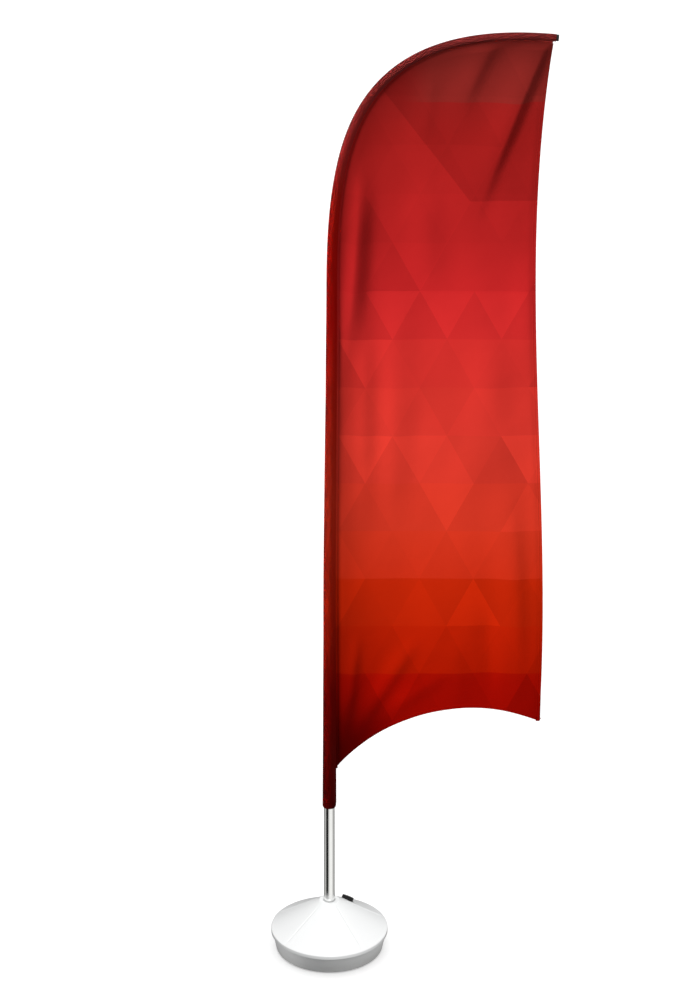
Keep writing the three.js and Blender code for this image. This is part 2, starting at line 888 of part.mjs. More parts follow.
const thick = 2 * hem_cloth;
const fly_hem = common(plate(outline, hem_cloth), band(fly, hem_width, thick));
const fly_room = band(fly, hem_width + touch_gap, thick);
const bottom_band = common(plate(outline, hem_cloth), band(hollow, hem_width, thick));
const bottom_room = band(hollow, hem_width + touch_gap, thick);
add("fly_hem", fly_hem, red_cloth());
add("bottom_hem", cut(bottom_band, fly_room), red_cloth());
add("banner_panel", cut(cut(plate(outline, cloth), fly_room), bottom_room), red_cloth());

export default flag;
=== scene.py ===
# %% [markdown]
# # A feather flag on a water-filled base
# The flag is an arched banner on a sectional mast, and the mast stands in a round white tank. The bodies,
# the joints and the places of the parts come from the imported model, which is loaded first and never
# moved. This script then makes what the eye sees: smooth shells, polished tube, printed cloth with its
# folds and hems.

# %% Load the frame
import json
import math

import bmesh
import bpy
import numpy as np
from mathutils import Matrix, Vector


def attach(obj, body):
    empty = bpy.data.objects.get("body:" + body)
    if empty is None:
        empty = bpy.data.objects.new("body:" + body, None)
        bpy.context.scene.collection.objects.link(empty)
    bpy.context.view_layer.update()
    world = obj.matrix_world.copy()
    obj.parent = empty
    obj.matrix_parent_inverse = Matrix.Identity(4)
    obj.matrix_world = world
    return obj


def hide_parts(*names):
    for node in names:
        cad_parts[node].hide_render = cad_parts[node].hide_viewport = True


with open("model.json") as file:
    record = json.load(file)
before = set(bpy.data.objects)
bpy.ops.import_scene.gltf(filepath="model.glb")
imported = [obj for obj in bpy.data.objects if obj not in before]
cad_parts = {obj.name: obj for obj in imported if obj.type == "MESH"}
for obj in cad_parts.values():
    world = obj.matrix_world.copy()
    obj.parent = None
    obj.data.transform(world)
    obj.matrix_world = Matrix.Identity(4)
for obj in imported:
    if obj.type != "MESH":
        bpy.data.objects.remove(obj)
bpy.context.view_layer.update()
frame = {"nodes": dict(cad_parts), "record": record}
nodes = frame["nodes"]

# %% [markdown]
# ## Camera
# The flag is seen from the front and from 30 degrees above, from so far away that upright lines stay
# upright and the cloth keeps one scale from foot to tip. A long lens at a great distance gives that and
# is still a real camera, where an orthographic one would hide how deep the base is. The camera sits on a
# line through a point a little beside the mast and at half the flag's height, so no lens shift is needed.

# %% Camera
VIEW_DOWN = math.radians(30)
VIEW_DISTANCE = 54.886
AIM_RIGHT = 0.0673
AIM_UP = 1.4427
LENS = 600

view_forward = Vector((0, math.cos(VIEW_DOWN), -math.sin(VIEW_DOWN)))
view_up = Vector((0, math.sin(VIEW_DOWN), math.cos(VIEW_DOWN)))
camera_data = bpy.data.cameras.new("camera")
camera_data.lens = LENS
camera_data.sensor_width = 36
camera_data.clip_end = 500
camera = bpy.data.objects.new("camera", camera_data)
camera.location = Vector((AIM_RIGHT, 0, 0)) + view_up * AIM_UP - view_forward * VIEW_DISTANCE
camera.rotation_euler = (math.pi / 2 - VIEW_DOWN, 0, 0)
bpy.context.scene.collection.objects.link(camera)
bpy.context.scene.camera = camera
print("camera at", [round(c, 2) for c in camera.location])

# %% [markdown]
# ## Small tools for meshes
# Every piece here is one of three kinds of surface: something turned about an axis, something drawn out
# along the mast, or a sheet of cloth. All three come down to a grid of points joined into quads, so one
# function that closes a grid into a mesh serves them all. Shading is smooth, with sharp edges kept by
# angle.


# %% From a grid of points to a piece
def make_piece(name, points, faces, sharp_angle=40):
    mesh = bpy.data.meshes.new(name)
    mesh.from_pydata([tuple(point) for point in points], [], faces)
    mesh.validate()
    tidy = bmesh.new()
    tidy.from_mesh(mesh)
    bmesh.ops.recalc_face_normals(tidy, faces=tidy.faces)
    tidy.to_mesh(mesh)
    tidy.free()
    mesh.shade_smooth()
    mesh.set_sharp_from_angle(angle=math.radians(sharp_angle))
    piece = bpy.data.objects.new(name, mesh)
    bpy.context.scene.collection.objects.link(piece)
    return piece


def grid_faces(rows, columns, wrap_rows=False, wrap_columns=False):
    faces = []
    for row in range(rows if wrap_rows else rows - 1):
        for column in range(columns if wrap_columns else columns - 1):
            next_row = (row + 1) % rows
            next_column = (column + 1) % columns
            faces.append(
                (
                    row * columns + column,
                    row * columns + next_column,
                    next_row * columns + next_column,
                    next_row * columns + column,
                )
            )
    return faces


def turned(name, outline, sides=128, sharp_angle=40):
    """A closed ring outline of (radius, height) pairs, turned about Z. A radius of 0 closes at the axis."""
    angles = np.linspace(0, 2 * math.pi, sides, endpoint=False)
    points = [
        (radius * math.cos(angle), radius * math.sin(angle), height)
        for radius, height in outline
        for angle in angles
    ]
    faces = grid_faces(len(outline), sides, wrap_rows=True, wrap_columns=True)
    piece = make_piece(name, points, faces, sharp_angle)
    weld(piece)
    return piece


def weld(piece, distance=1e-6):
    mesh = bmesh.new()
    mesh.from_mesh(piece.data)
    bmesh.ops.remove_doubles(mesh, verts=mesh.verts, dist=distance)
    loose = [vert for vert in mesh.verts if not vert.link_faces]
    bmesh.ops.delete(mesh, geom=loose, context="VERTS")
    bmesh.ops.recalc_face_normals(mesh, faces=mesh.faces)
    mesh.to_mesh(piece.data)
    mesh.free()


def round_corners(outline, radius, steps=5, closed=True):
    """The outline with each corner swapped for a short arc, like a moulding's eased edges."""
    eased = []
    count = len(outline)
    for i, point in enumerate(outline):
        corner = Vector(point)
        if not closed and i in (0, count - 1):
            eased.append(tuple(corner))
            continue
        before = Vector(outline[i - 1]) - corner
        after = Vector(outline[(i + 1) % count]) - corner
        reach = min(radius, before.length / 2.2, after.length / 2.2)
        start = corner + before.normalized() * reach
        end = corner + after.normalized() * reach
        for step in range(steps + 1):
            t = step / steps
            eased.append(tuple((1 - t) ** 2 * start + 2 * t * (1 - t) * corner + t * t * end))
    return eased


def settle(piece, body, slot, *stands_for):
    """Says what a finished piece rides on and which CAD solids it stands for. The slot argument is not used.
    """
    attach(piece, body)
    if stands_for:
        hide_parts(*stands_for)
    return piece


def bake_modifiers(piece):
    """Turns a piece's modifiers into plain mesh."""
    evaluated = piece.evaluated_get(bpy.context.evaluated_depsgraph_get())
    mesh = bpy.data.meshes.new_from_object(evaluated)
    piece.modifiers.clear()
    piece.data = mesh
    return piece

# %% [markdown]
# ## The upper shell of the tank
# The base is blow moulded from white plastic. Its top is a low cone, and a cone that large never comes
# out of the mould quite true: it settles into five shallow panels with a fine crease between each two.
# The cone is turned from its outline, with points close enough together to carry the panels. The middle
# of each panel is then lowered by three millimetres and each crease is pressed in by a little over two,
# which leaves some of the wall's thickness everywhere. The creases stand at whole steps of the turning,
# so that a column of points runs down each of them.

# %% Upper shell
RIM_RADIUS = 0.190
LIP_BOTTOM = 0.061
CONE_FOOT = (0.188, 0.0745)
PLATEAU = (0.032, 0.177)
MAST_HOLE = 0.019
WALL = 0.004
CREASES = [math.radians(angle) for angle in (-117, -51, 36, 108, 174)]
PANEL_SINK = 0.0030
CREASE_DEPTH = 0.0024
CREASE_WIDTH = 0.0027


def cone_z(radius):
    share = (radius - PLATEAU[0]) / (CONE_FOOT[0] - PLATEAU[0])
    return PLATEAU[1] + (CONE_FOOT[1] - PLATEAU[1]) * share


def panel_share(angle_from_front):
    """0 at a crease and 1 in the middle of the panel between two creases."""
    for i, start in enumerate(CREASES):
        width = (CREASES[(i + 1) % len(CREASES)] - start) % (2 * math.pi)
        along = (angle_from_front - start) % (2 * math.pi)
        if along < width:
            return 4 * (along / width) * (1 - along / width)
    return 0


INNER_LIP = 0.186
LIP_TOP = 0.0732
JOINT_TOP = 0.0718
WELL_INSIDE = 0.026
WELL_OUTSIDE = 0.030
WELL_FOOT = 0.0175
UNDER_CONE = 0.0048
CONE_INSIDE_END = 0.170
SHELL_SIDES = 480

cone_radii = np.linspace(CONE_FOOT[0] - 0.004, PLATEAU[0] + 0.003, 34)
cone_rings = [(radius, cone_z(radius)) for radius in cone_radii]
lip_corners = [
    (INNER_LIP, JOINT_TOP),
    (INNER_LIP, LIP_BOTTOM),
    (RIM_RADIUS, LIP_BOTTOM),
    (RIM_RADIUS, LIP_TOP),
    cone_rings[0],
]
crown_corners = [
    cone_rings[-1],
    PLATEAU,
    (MAST_HOLE, PLATEAU[1]),
    (MAST_HOLE, PLATEAU[1] - WALL),
    (WELL_INSIDE, PLATEAU[1] - WALL),
]
under = [
    (WELL_INSIDE, WELL_FOOT),
    (WELL_OUTSIDE, WELL_FOOT),
    (WELL_OUTSIDE, cone_z(WELL_OUTSIDE) - UNDER_CONE),
    (CONE_INSIDE_END, cone_z(CONE_INSIDE_END) - UNDER_CONE),
    (CONE_INSIDE_END, JOINT_TOP),
]
lip = round_corners(lip_corners, 0.0022, closed=False)
crown = round_corners(crown_corners, 0.0025, closed=False)
shell = turned("base_shell", lip + cone_rings[1:-1] + crown + under, sides=SHELL_SIDES)
for vertex in shell.data.vertices:
    x, y, z = vertex.co
    radius = math.hypot(x, y)
    share = (CONE_FOOT[0] - radius) / (CONE_FOOT[0] - PLATEAU[0])
    if 0 < share < 1 and z > cone_z(radius) - 0.001:
        angle = math.atan2(x, -y)
        vertex.co.z -= PANEL_SINK * math.sin(math.pi * share) ** 0.6 * panel_share(angle)
        turns_away = [abs((angle - crease + math.pi) % (2 * math.pi) - math.pi) for crease in CREASES]
        to_crease = radius * min(turns_away)
        ends = min(1, 8 * share, 5 * (1 - share))
        vertex.co.z -= CREASE_DEPTH * ends * math.exp(-((to_crease / CREASE_WIDTH) ** 2))
print("upper shell:", len(shell.data.polygons), "faces")

# %% [markdown]
# ## The filler pocket and its neck
# Water goes in through a threaded neck that stands in a round pocket behind the mast. The pocket is cut
# with booleans, because a round pocket on the side of a cone has a rim that no turned outline gives. The
# neck is turned by itself, with a rolled mouth, and its thread is one ridge wound round it. Everything
# here is made upright and then turned to stand square on the cone.

# %% Filler pocket
FILLER_ANGLE = math.radians(48)
FILLER_DISTANCE = 0.088
POCKET_RADIUS = 0.025
POCKET_DEPTH = 0.007
NECK_RADIUS = 0.0134
NECK_BORE = 0.0105

cone_tilt = math.atan2(PLATEAU[1] - CONE_FOOT[1], CONE_FOOT[0] - PLATEAU[0])
filler_axis = Vector(
    (
        math.sin(cone_tilt) * math.cos(FILLER_ANGLE),
        math.sin(cone_tilt) * math.sin(FILLER_ANGLE),
        math.cos(cone_tilt),
    )
)
filler_point = Vector(
    (
        FILLER_DISTANCE * math.cos(FILLER_ANGLE),
        FILLER_DISTANCE * math.sin(FILLER_ANGLE),
        cone_z(FILLER_DISTANCE),
    )
)
filler_turn = Vector((0, 0, 1)).rotation_difference(filler_axis).to_matrix().to_4x4()


def at_filler(piece):
    """Lays a piece that was made upright at the origin square on the cone, where the filler is."""
    piece.data.transform(Matrix.Translation(filler_point) @ filler_turn)
    return piece


def cut_or_join(piece, tool, operation):
    change = piece.modifiers.new(operation.lower(), "BOOLEAN")
    change.operation = operation
    change.solver = "EXACT"
    change.object = tool
    bake_modifiers(piece)
    bpy.data.objects.remove(tool)


def plug(name, radius, bottom, top):
    return at_filler(turned(name, [(0, bottom), (radius, bottom), (radius, top), (0, top)], sides=96))


cut_or_join(shell, plug("pocket_wall", POCKET_RADIUS + WALL, -POCKET_DEPTH - WALL, -0.0046), "UNION")
cut_or_join(shell, plug("pocket_room", POCKET_RADIUS, -POCKET_DEPTH, 0.03), "DIFFERENCE")
cut_or_join(shell, plug("neck_hole", NECK_BORE + 0.0008, -0.03, 0.0), "DIFFERENCE")
shell.data.shade_smooth()
shell.data.set_sharp_from_angle(angle=math.radians(32))
settle(shell, "base", "white_plastic", "base_top_shell")
print("shell with its pocket:", len(shell.data.polygons), "faces")

# %% Neck and thread
NECK_RISE = 0.003
NECK_SUNK = POCKET_DEPTH + 0.003
neck_outline = [
    (NECK_BORE, -NECK_SUNK),
    (NECK_RADIUS, -NECK_SUNK),
    (NECK_RADIUS, NECK_RISE),
    (NECK_BORE, NECK_RISE),
]
neck = at_filler(turned("filler_neck", round_corners(neck_outline, 0.0008), sides=96))
settle(neck, "base", "white_plastic")

THREAD_PITCH = 0.004
THREAD_START = -POCKET_DEPTH + 0.0018
THREAD_HEIGHT = 0.0013
THREAD_ROOT = -0.0004
thread_points = []
thread_steps = 96
for step in range(thread_steps + 1):
    turn = 2 * math.pi * step / thread_steps
    height = THREAD_START + THREAD_PITCH * turn / (2 * math.pi)
    fade = min(1, 10 * min(step, thread_steps - step) / thread_steps + 0.05)
    crest = THREAD_HEIGHT * fade
    for out, up in ((THREAD_ROOT, -0.0008), (crest, -0.0003), (crest, 0.0003), (THREAD_ROOT, 0.0008)):
        reach = NECK_RADIUS + out
        thread_points.append((reach * math.cos(turn), reach * math.sin(turn), height + up))
thread_faces = grid_faces(thread_steps + 1, 4, wrap_columns=True)
thread_faces += [(3, 2, 1, 0), tuple(4 * thread_steps + i for i in range(4))]
thread = at_filler(make_piece("filler_thread", thread_points, thread_faces, 60))
settle(thread, "base", "white_plastic")

# %% [markdown]
# ## The filler cap
# The cap is a ribbed black screw cap. A ribbed wall is a turned wall whose radius falls and rises with
# the angle, so the cap is turned first and its outer wall is then drawn in between the ribs. Its top is
# slightly dished and its hollow is real, because the cap lifts off.

# %% Filler cap
CAP_RADIUS = 0.0195
CAP_BORE = 0.0164
CAP_RIBS = 24
CAP_RIB_DEPTH = 0.0009
CAP_TOP = 0.0085
CAP_DISH = 0.0079
CAP_CEILING = 0.0051
CAP_SKIRT = -0.006
RIBBED_FROM = 0.0178
cap_corners = [
    (0, CAP_DISH),
    (0.0125, CAP_DISH),
    (0.0145, CAP_TOP),
    (CAP_RADIUS, CAP_TOP),
    (CAP_RADIUS, CAP_SKIRT),
    (CAP_BORE, CAP_SKIRT),
    (CAP_BORE, CAP_CEILING),
    (0, CAP_CEILING),
]
cap_outline = round_corners(cap_corners, 0.0011, closed=False)
cap_outline = [cap_corners[0]] + cap_outline[1:-1] + [cap_corners[-1]]
wall_heights = [(CAP_RADIUS, z) for z in np.linspace(0.0066, -0.0045, 6)]
split = next(i for i, (radius, z) in enumerate(cap_outline) if z < 0 and radius > CAP_BORE)
cap_outline[split:split] = wall_heights
cap = turned("screw_cap", cap_outline, sides=CAP_RIBS * 10, sharp_angle=50)
for vertex in cap.data.vertices:
    radius = math.hypot(vertex.co.x, vertex.co.y)
    if radius > RIBBED_FROM:
        groove = 0.5 - 0.5 * math.cos(CAP_RIBS * math.atan2(vertex.co.y, vertex.co.x))
        draw_in = 1 - CAP_RIB_DEPTH * groove**0.7 / radius
        vertex.co.x *= draw_in
        vertex.co.y *= draw_in
settle(at_filler(cap), "cap", "black_plastic", "filler_cap")
print("cap:", len(cap.data.polygons), "faces,", CAP_RIBS, "ribs")

# %% [markdown]
# ## The pan, the foot ring and the seal round the mast
# Below the lip the wall tapers in to the floor, where a rubber ring keeps the base from sliding. A soft
# ring closes the gap round the mast. All three are plain turned shapes whose edges are eased, since light
# catches on an eased edge and a knife edge looks like a drawing.

# %% Pan, foot ring and seal
def ring(name, inner, outer, bottom, top, easing, sides):
    """A plain ring with eased edges."""
    corners = [(inner, bottom), (outer, bottom), (outer, top), (inner, top)]
    return turned(name, round_corners(corners, easing), sides=sides)


pan_outline = [
    (0.173, 0.0033),
    (0.1854, 0.0607),
    (0.1857, 0.070),
    (0.170, 0.070),
    (0.170, 0.066),
    (0.1817, 0.066),
    (0.1814, 0.0607),
    (0.169, 0.0073),
    (0.0503, 0.0073),
    (0.0503, 0.0033),
]
pan = turned("base_pan", round_corners(pan_outline, 0.0028), sides=240)
settle(pan, "base", "white_plastic", "base_bottom_pan")

foot_ring = ring("foot_ring", 0.149, 0.165, 0, 0.003, 0.0008, 180)
settle(foot_ring, "base", "seal_rubber", "rubber_foot_ring")

seal_outline = round_corners([(0.0179, 0.1773), (0.0201, 0.1773), (0.0199, 0.1793), (0.0179, 0.1793)], 0.0007)
mast_seal = turned("mast_seal", seal_outline, sides=120)
settle(mast_seal, "base", "grey_rubber", "mast_seal_ring")

# %% [markdown]
# ## The mast's line
# The mast is straight for its lower section, leans a little above it and then arches over to the tip.
# Three stretches make its line: a straight one and two cubic curves. The line is measured out once, so
# that anything can ask for the point a given distance along it and for the direction from there towards
# the banner.

# %% Mast line
LOWER_TOP = 1.250
LEAN = 0.008
ARCH_START = 2.470
ARCH_RISE = 0.495
TIP = (0.729, 3.370)
ARCH_REACH = 0.676
TIP_DROOP = 0.1


def cubic(start, first, second, end, count):
    t = np.linspace(0, 1, count)[:, None]
    start, first, second, end = (np.array(p, float) for p in (start, first, second, end))
    return (1 - t) ** 3 * start + 3 * (1 - t) ** 2 * t * first + 3 * (1 - t) * t**2 * second + t**3 * end


def lengths_along(line):
    steps = np.linalg.norm(np.diff(line, axis=0), axis=1)
    return np.concatenate([[0], np.cumsum(steps)])


lean_handle = (ARCH_START - LOWER_TOP) / 3
straight = cubic((0, 0), (0, LOWER_TOP / 3), (0, 2 * LOWER_TOP / 3), (0, LOWER_TOP), 200)
lean_foot, lean_top = (0, LOWER_TOP), (LEAN, ARCH_START)
leaning = cubic(lean_foot, (0, LOWER_TOP + lean_handle), (LEAN, ARCH_START - lean_handle), lean_top, 400)
before_tip = (TIP[0] - ARCH_REACH * math.cos(TIP_DROOP), TIP[1] + ARCH_REACH * math.sin(TIP_DROOP))
arch = cubic(lean_top, (LEAN, ARCH_START + ARCH_RISE), before_tip, TIP, 1200)
mast_line = np.vstack([straight, leaning[1:], arch[1:]])
mast_s = lengths_along(mast_line)
MAST_END = float(mast_s[-1])
print("mast line:", round(MAST_END, 4), "m")


def mast_at(s):
    """The mast's centre at the distances s, and the direction towards the banner there, as (x, z) rows."""

    def point(distance):
        return np.stack([np.interp(distance, mast_s, mast_line[:, i]) for i in (0, 1)], axis=1)

    s = np.atleast_1d(s)
    centre = point(s)
    way = point(np.minimum(s + 0.002, MAST_END)) - point(np.maximum(s - 0.002, 0))
    way /= np.linalg.norm(way, axis=1)[:, None]
    return centre, np.stack([way[:, 1], -way[:, 0]], axis=1)


def along_mast(name, stations, out, front, sharp_angle=40, closed=False):
    """A skin round the mast. out and front are arrays of stations by angles: how far each point lies towards
    the banner and towards the front."""
    centre, side = mast_at(stations)
    x = centre[:, :1] + side[:, :1] * out
    z = centre[:, 1:] + side[:, 1:] * out
    points = np.stack([x, -front, z], axis=2).reshape(-1, 3)
    faces = grid_faces(out.shape[0], out.shape[1], wrap_rows=closed, wrap_columns=True)
    return make_piece(name, points, faces, sharp_angle)


def round_skin(name, outline, sides, sharp_angle=40):
    """A closed outline of (radius, distance) pairs turned about the mast's line."""
    angles = np.linspace(0, 2 * math.pi, sides, endpoint=False)
    radius = np.array([pair[0] for pair in outline])[:, None]
    stations = np.array([pair[1] for pair in outline])
    out, front = radius * np.cos(angles), radius * np.sin(angles)
    piece = along_mast(name, stations, out, front, sharp_angle, closed=True)
    weld(piece)
    return piece


# %% [markdown]
# ## The bare lower mast and the tip cap
# The lower mast is a polished drawn tube. Only its first half metre shows below the sleeve, but the tube
# runs on inside, as it does on the real flag. The tip cap closes the sleeve's end like a thimble.

# %% Lower mast and tip cap
TUBE_BORE = 0.0157
TUBE_RADIUS = 0.0175
TUBE_FOOT = 0.1626
lower_mast = ring("mast_tube", TUBE_BORE, TUBE_RADIUS, TUBE_FOOT, LOWER_TOP, 0.0006, 144)
settle(lower_mast, "mast", "polished_tube", "mast_lower")

ROD_END = MAST_END - 0.003
TIP_BORE = 0.0066
TIP_PLUG = 0.008
TIP_RADIUS = 0.0107
tip_ceiling = ROD_END + 0.0003
tip_foot = MAST_END - 0.008
plug_foot = tip_foot - 0.022
tip_outline = [
    (0, tip_ceiling),
    (TIP_BORE, tip_ceiling),
    (TIP_BORE, plug_foot),
    (TIP_PLUG, plug_foot),
    (TIP_PLUG, tip_foot),
    (TIP_RADIUS, tip_foot),
    (TIP_RADIUS, MAST_END),
    (0, MAST_END),
]
tip_cap = round_skin("tip_cap", round_corners(tip_outline, 0.0022, closed=False), 96)
settle(tip_cap, "mast", "black_plastic", "mast_tip_cap")

# %% [markdown]
# ## The sleeve
# The sleeve is a strip of cloth folded round the mast and sewn to the banner, so its section is a drop:
# round at the mast and pinched where the two layers meet. It isn't tight. Long shallow folds run up it,
# wander a little round the mast and fade out. Simulated cloth could find folds by itself, but a few waves
# added to the section are quick, always give the same sleeve and can be put where they are wanted. The
# cloth is then pushed out wherever a wave would sink it into the tube inside.

# %% Sleeve
SLEEVE_FOOT = 0.532
CUFF_TOP = 0.550
SLEEVE_FOOT_RADIUS = 0.0223
SLEEVE_MIDDLE_RADIUS = 0.0180
SLEEVE_TIP_RADIUS = 0.0130
SLEEVE_MIDDLE = 2.312
CLOTH_THICKNESS = 0.0007
ROOM_ROUND_MAST = 0.0003
# Where the mast steps down at each joint, and its radius there.
MAST_STEPS = [1.264, 1.300, 2.314, 2.350, ROD_END]
MAST_RADII = [TUBE_RADIUS, 0.0154, 0.0154, 0.0133, 0.005]
SLEEVE_END = MAST_END - 0.0083


def sleeve_radius(s):
    stations = [SLEEVE_FOOT, SLEEVE_MIDDLE, MAST_END]
    return np.interp(s, stations, [SLEEVE_FOOT_RADIUS, SLEEVE_MIDDLE_RADIUS, SLEEVE_TIP_RADIUS])


def drop_section(stations, angles):
    """How far towards the banner and the front the sleeve's cloth lies, for stations by angles."""
    s = stations[:, None]
    a = angles[None, :]
    radius = sleeve_radius(s) - 0.0004
    towards_seam = np.clip((1 + np.cos(a)) / 2, 0, 1)
    folds = 0.00075 * np.sin(5 * a + 2.2 * np.sin(2.1 * s) + 5 * s)
    folds += 0.0006 * np.sin(3 * a - 1.6 * s + 1.5 * np.sin(3.7 * s + 1))
    folds += 0.0003 * np.sin(9 * a + 7 * s + 2 * np.sin(5.3 * s))
    folds *= 0.55 + 0.45 * np.sin(1.9 * s + 0.7) * np.sin(5.1 * s)
    # The arch stretches the cloth over its outer side and gathers it in short creases on the inner side.
    bent = np.clip((s - 2.6) / 0.3, 0, 1) * np.clip((3.55 - s) / 0.2, 0, 1)
    folds += 0.00045 * bent * towards_seam * np.sin(118 * s + 2 * np.sin(9 * s))
    radius = radius - 0.0009 + folds * (1 - towards_seam**3)
    pinch = 1 - 0.62 * towards_seam**5
    out = (radius + 0.0021 * towards_seam**6) * np.cos(a)
    front = radius * np.sin(a) * pinch
    # The cloth can't sink into the tube, so wherever it would, it is laid on it.
    nearest = np.interp(s, MAST_STEPS, MAST_RADII) + CLOTH_THICKNESS + ROOM_ROUND_MAST
    push = np.maximum(1, nearest / np.hypot(out, front))
    return out * push, front * push


sleeve_stations = np.linspace(CUFF_TOP - 0.004, SLEEVE_END, 430)
sleeve_angles = np.linspace(0, 2 * math.pi, 60, endpoint=False)
sleeve_section = drop_section(sleeve_stations, sleeve_angles)
sleeve = along_mast("sleeve", sleeve_stations, *sleeve_section, sharp_angle=75)
wall = sleeve.modifiers.new("cloth", "SOLIDIFY")
wall.thickness = CLOTH_THICKNESS
wall.offset = -1
bake_modifiers(sleeve)
settle(sleeve, "mast", "sleeve_cloth", "pole_sleeve")
sleeve_inside = np.hypot(*sleeve_section).min(axis=1) - CLOTH_THICKNESS
room = sleeve_inside - np.interp(sleeve_stations, MAST_STEPS, MAST_RADII)
print("sleeve:", len(sleeve.data.polygons), "faces")
print("least room round the mast:", round(float(room.min()), 5), "m")

# %% [markdown]
# ## The webbing at the sleeve's end
# The mast pushes hard on the end of the sleeve, so a turn of webbing is sewn inside it, and the tip cap's
# plug goes through it. Only its end shows, between the cap and the sleeve. It is a ring turned about the
# mast's line, with a fine rib across it for the woven ribs.

# %% Webbing ring
WEBBING_BORE = 0.0084
WEBBING_RADIUS = 0.0104
WEBBING_RIB = 0.00012
rib_stations = np.linspace(MAST_END - 0.0295, MAST_END - 0.0088, 24)
ribs = [(WEBBING_RADIUS + WEBBING_RIB * (i % 2), s) for i, s in enumerate(rib_stations)]
webbing_outline = [(WEBBING_BORE, MAST_END - 0.0298), *ribs, (WEBBING_BORE, MAST_END - 0.0085)]
webbing = round_skin("tip_webbing", webbing_outline, 96)
settle(webbing, "mast", "sleeve_cloth", "tip_pocket")

# %% [markdown]
# ## The cuff
# The sleeve's foot is turned up over an elastic, which gathers the cloth into small puckers round the
# mast. The cuff is a closed roll: it swells between the elastic and its hem, and the puckers are deepest
# at the drawn-in end.

# %% Cuff
CUFF_PUCKERS = 17
CUFF_SIDES = 204
CUFF_RINGS = 40
cuff_angles = np.linspace(0, 2 * math.pi, CUFF_SIDES, endpoint=False)
cuff_around = np.linspace(0, 2 * math.pi, CUFF_RINGS, endpoint=False)
cuff_rise = 0.5 - 0.5 * np.cos(cuff_around)
cuff_outer = np.sin(cuff_around) > 0
cuff_middle = (SLEEVE_FOOT + CUFF_TOP + 0.003) / 2
cuff_half = (CUFF_TOP + 0.003 - SLEEVE_FOOT) / 2
cuff_s = (cuff_middle - cuff_half * np.cos(cuff_around))[:, None]
swell = 0.0201 + 0.0011 * np.sin(cuff_around)[:, None] + 0.0010 * cuff_rise[:, None]
pucker_depth = 0.00085 * (1 - 0.55 * cuff_rise)[:, None]
wander = 0.35 * np.sin(3 * cuff_angles) + 0.3 * np.sin(2 * cuff_angles + 1)
puckers = np.sin(CUFF_PUCKERS * cuff_angles + wander * 2.5 + 0.6 * cuff_rise[:, None])
cuff_radius = swell + pucker_depth * puckers * np.where(cuff_outer, 1, 0.35)[:, None]
cuff_points = np.stack(
    [
        cuff_radius * np.cos(cuff_angles),
        -cuff_radius * np.sin(cuff_angles),
        np.broadcast_to(cuff_s, cuff_radius.shape) + 0.0006 * puckers * (1 - cuff_rise)[:, None],
    ],
    axis=2,
).reshape(-1, 3)
cuff_faces = grid_faces(CUFF_RINGS, CUFF_SIDES, wrap_rows=True, wrap_columns=True)
cuff = make_piece("cuff", cuff_points, cuff_faces, 75)
settle(cuff, "mast", "sleeve_cloth", "sleeve_cuff")
print("cuff radius", round(float(cuff_radius.min()), 4), "to", round(float(cuff_radius.max()), 4))

# %% [markdown]
# ## The banner's outline
# The banner has three edges: the one sewn to the sleeve, the free edge, and the hollow one at the bottom.
# The sleeve's edge follows the mast's line and the other two are cubic curves. The surface between them
# is filled the way a tailor eases one seam to another: each point blends the edges by how far it lies
# between them.

# %% Banner edges
PANEL_FOOT = 0.676
SEWN_IN = 0.0022
FREE_FOOT = np.array([0.681, 0.853])
FREE_TOP = np.array([TIP[0] - 0.017, TIP[1] - 0.018])
FREE_HANDLE = 0.875
HOLLOW_HANDLE = 0.262
HEM_WIDTH = 0.012


def heading(angle):
    return np.array([math.cos(angle), math.sin(angle)])


def curved_edge(start, start_angle, end, end_angle, handle):
    first = start + handle * heading(start_angle)
    second = end + handle * heading(end_angle)
    return cubic(start, first, second, end, 1200)


def at_shares(line, shares):
    """The points at the given shares of a line's length."""
    s = lengths_along(line)
    return np.stack([np.interp(np.asarray(shares) * s[-1], s, line[:, i]) for i in (0, 1)], axis=1)


def moved_sideways(line, distance):
    """The line moved to the left of the way it runs."""
    way = np.gradient(line, axis=0)
    way /= np.linalg.norm(way, axis=1)[:, None]
    return line + distance * np.stack([-way[:, 1], way[:, 0]], axis=1)


seam_stations = np.linspace(PANEL_FOOT, MAST_END - 0.017, 1200)
seam_centre, seam_side = mast_at(seam_stations)
seam_edge = seam_centre + seam_side * (sleeve_radius(seam_stations) - SEWN_IN)[:, None]
free_edge = curved_edge(FREE_FOOT, math.pi / 2 - 0.049, FREE_TOP, -math.pi / 2 - 0.136, FREE_HANDLE)
hollow_edge = curved_edge(seam_edge[0], 0.92, FREE_FOOT, math.pi - 0.43, HOLLOW_HANDLE)
for name, line in (("seam", seam_edge), ("free", free_edge), ("hollow", hollow_edge)):
    print(name, "edge:", round(float(lengths_along(line)[-1]), 3), "m")
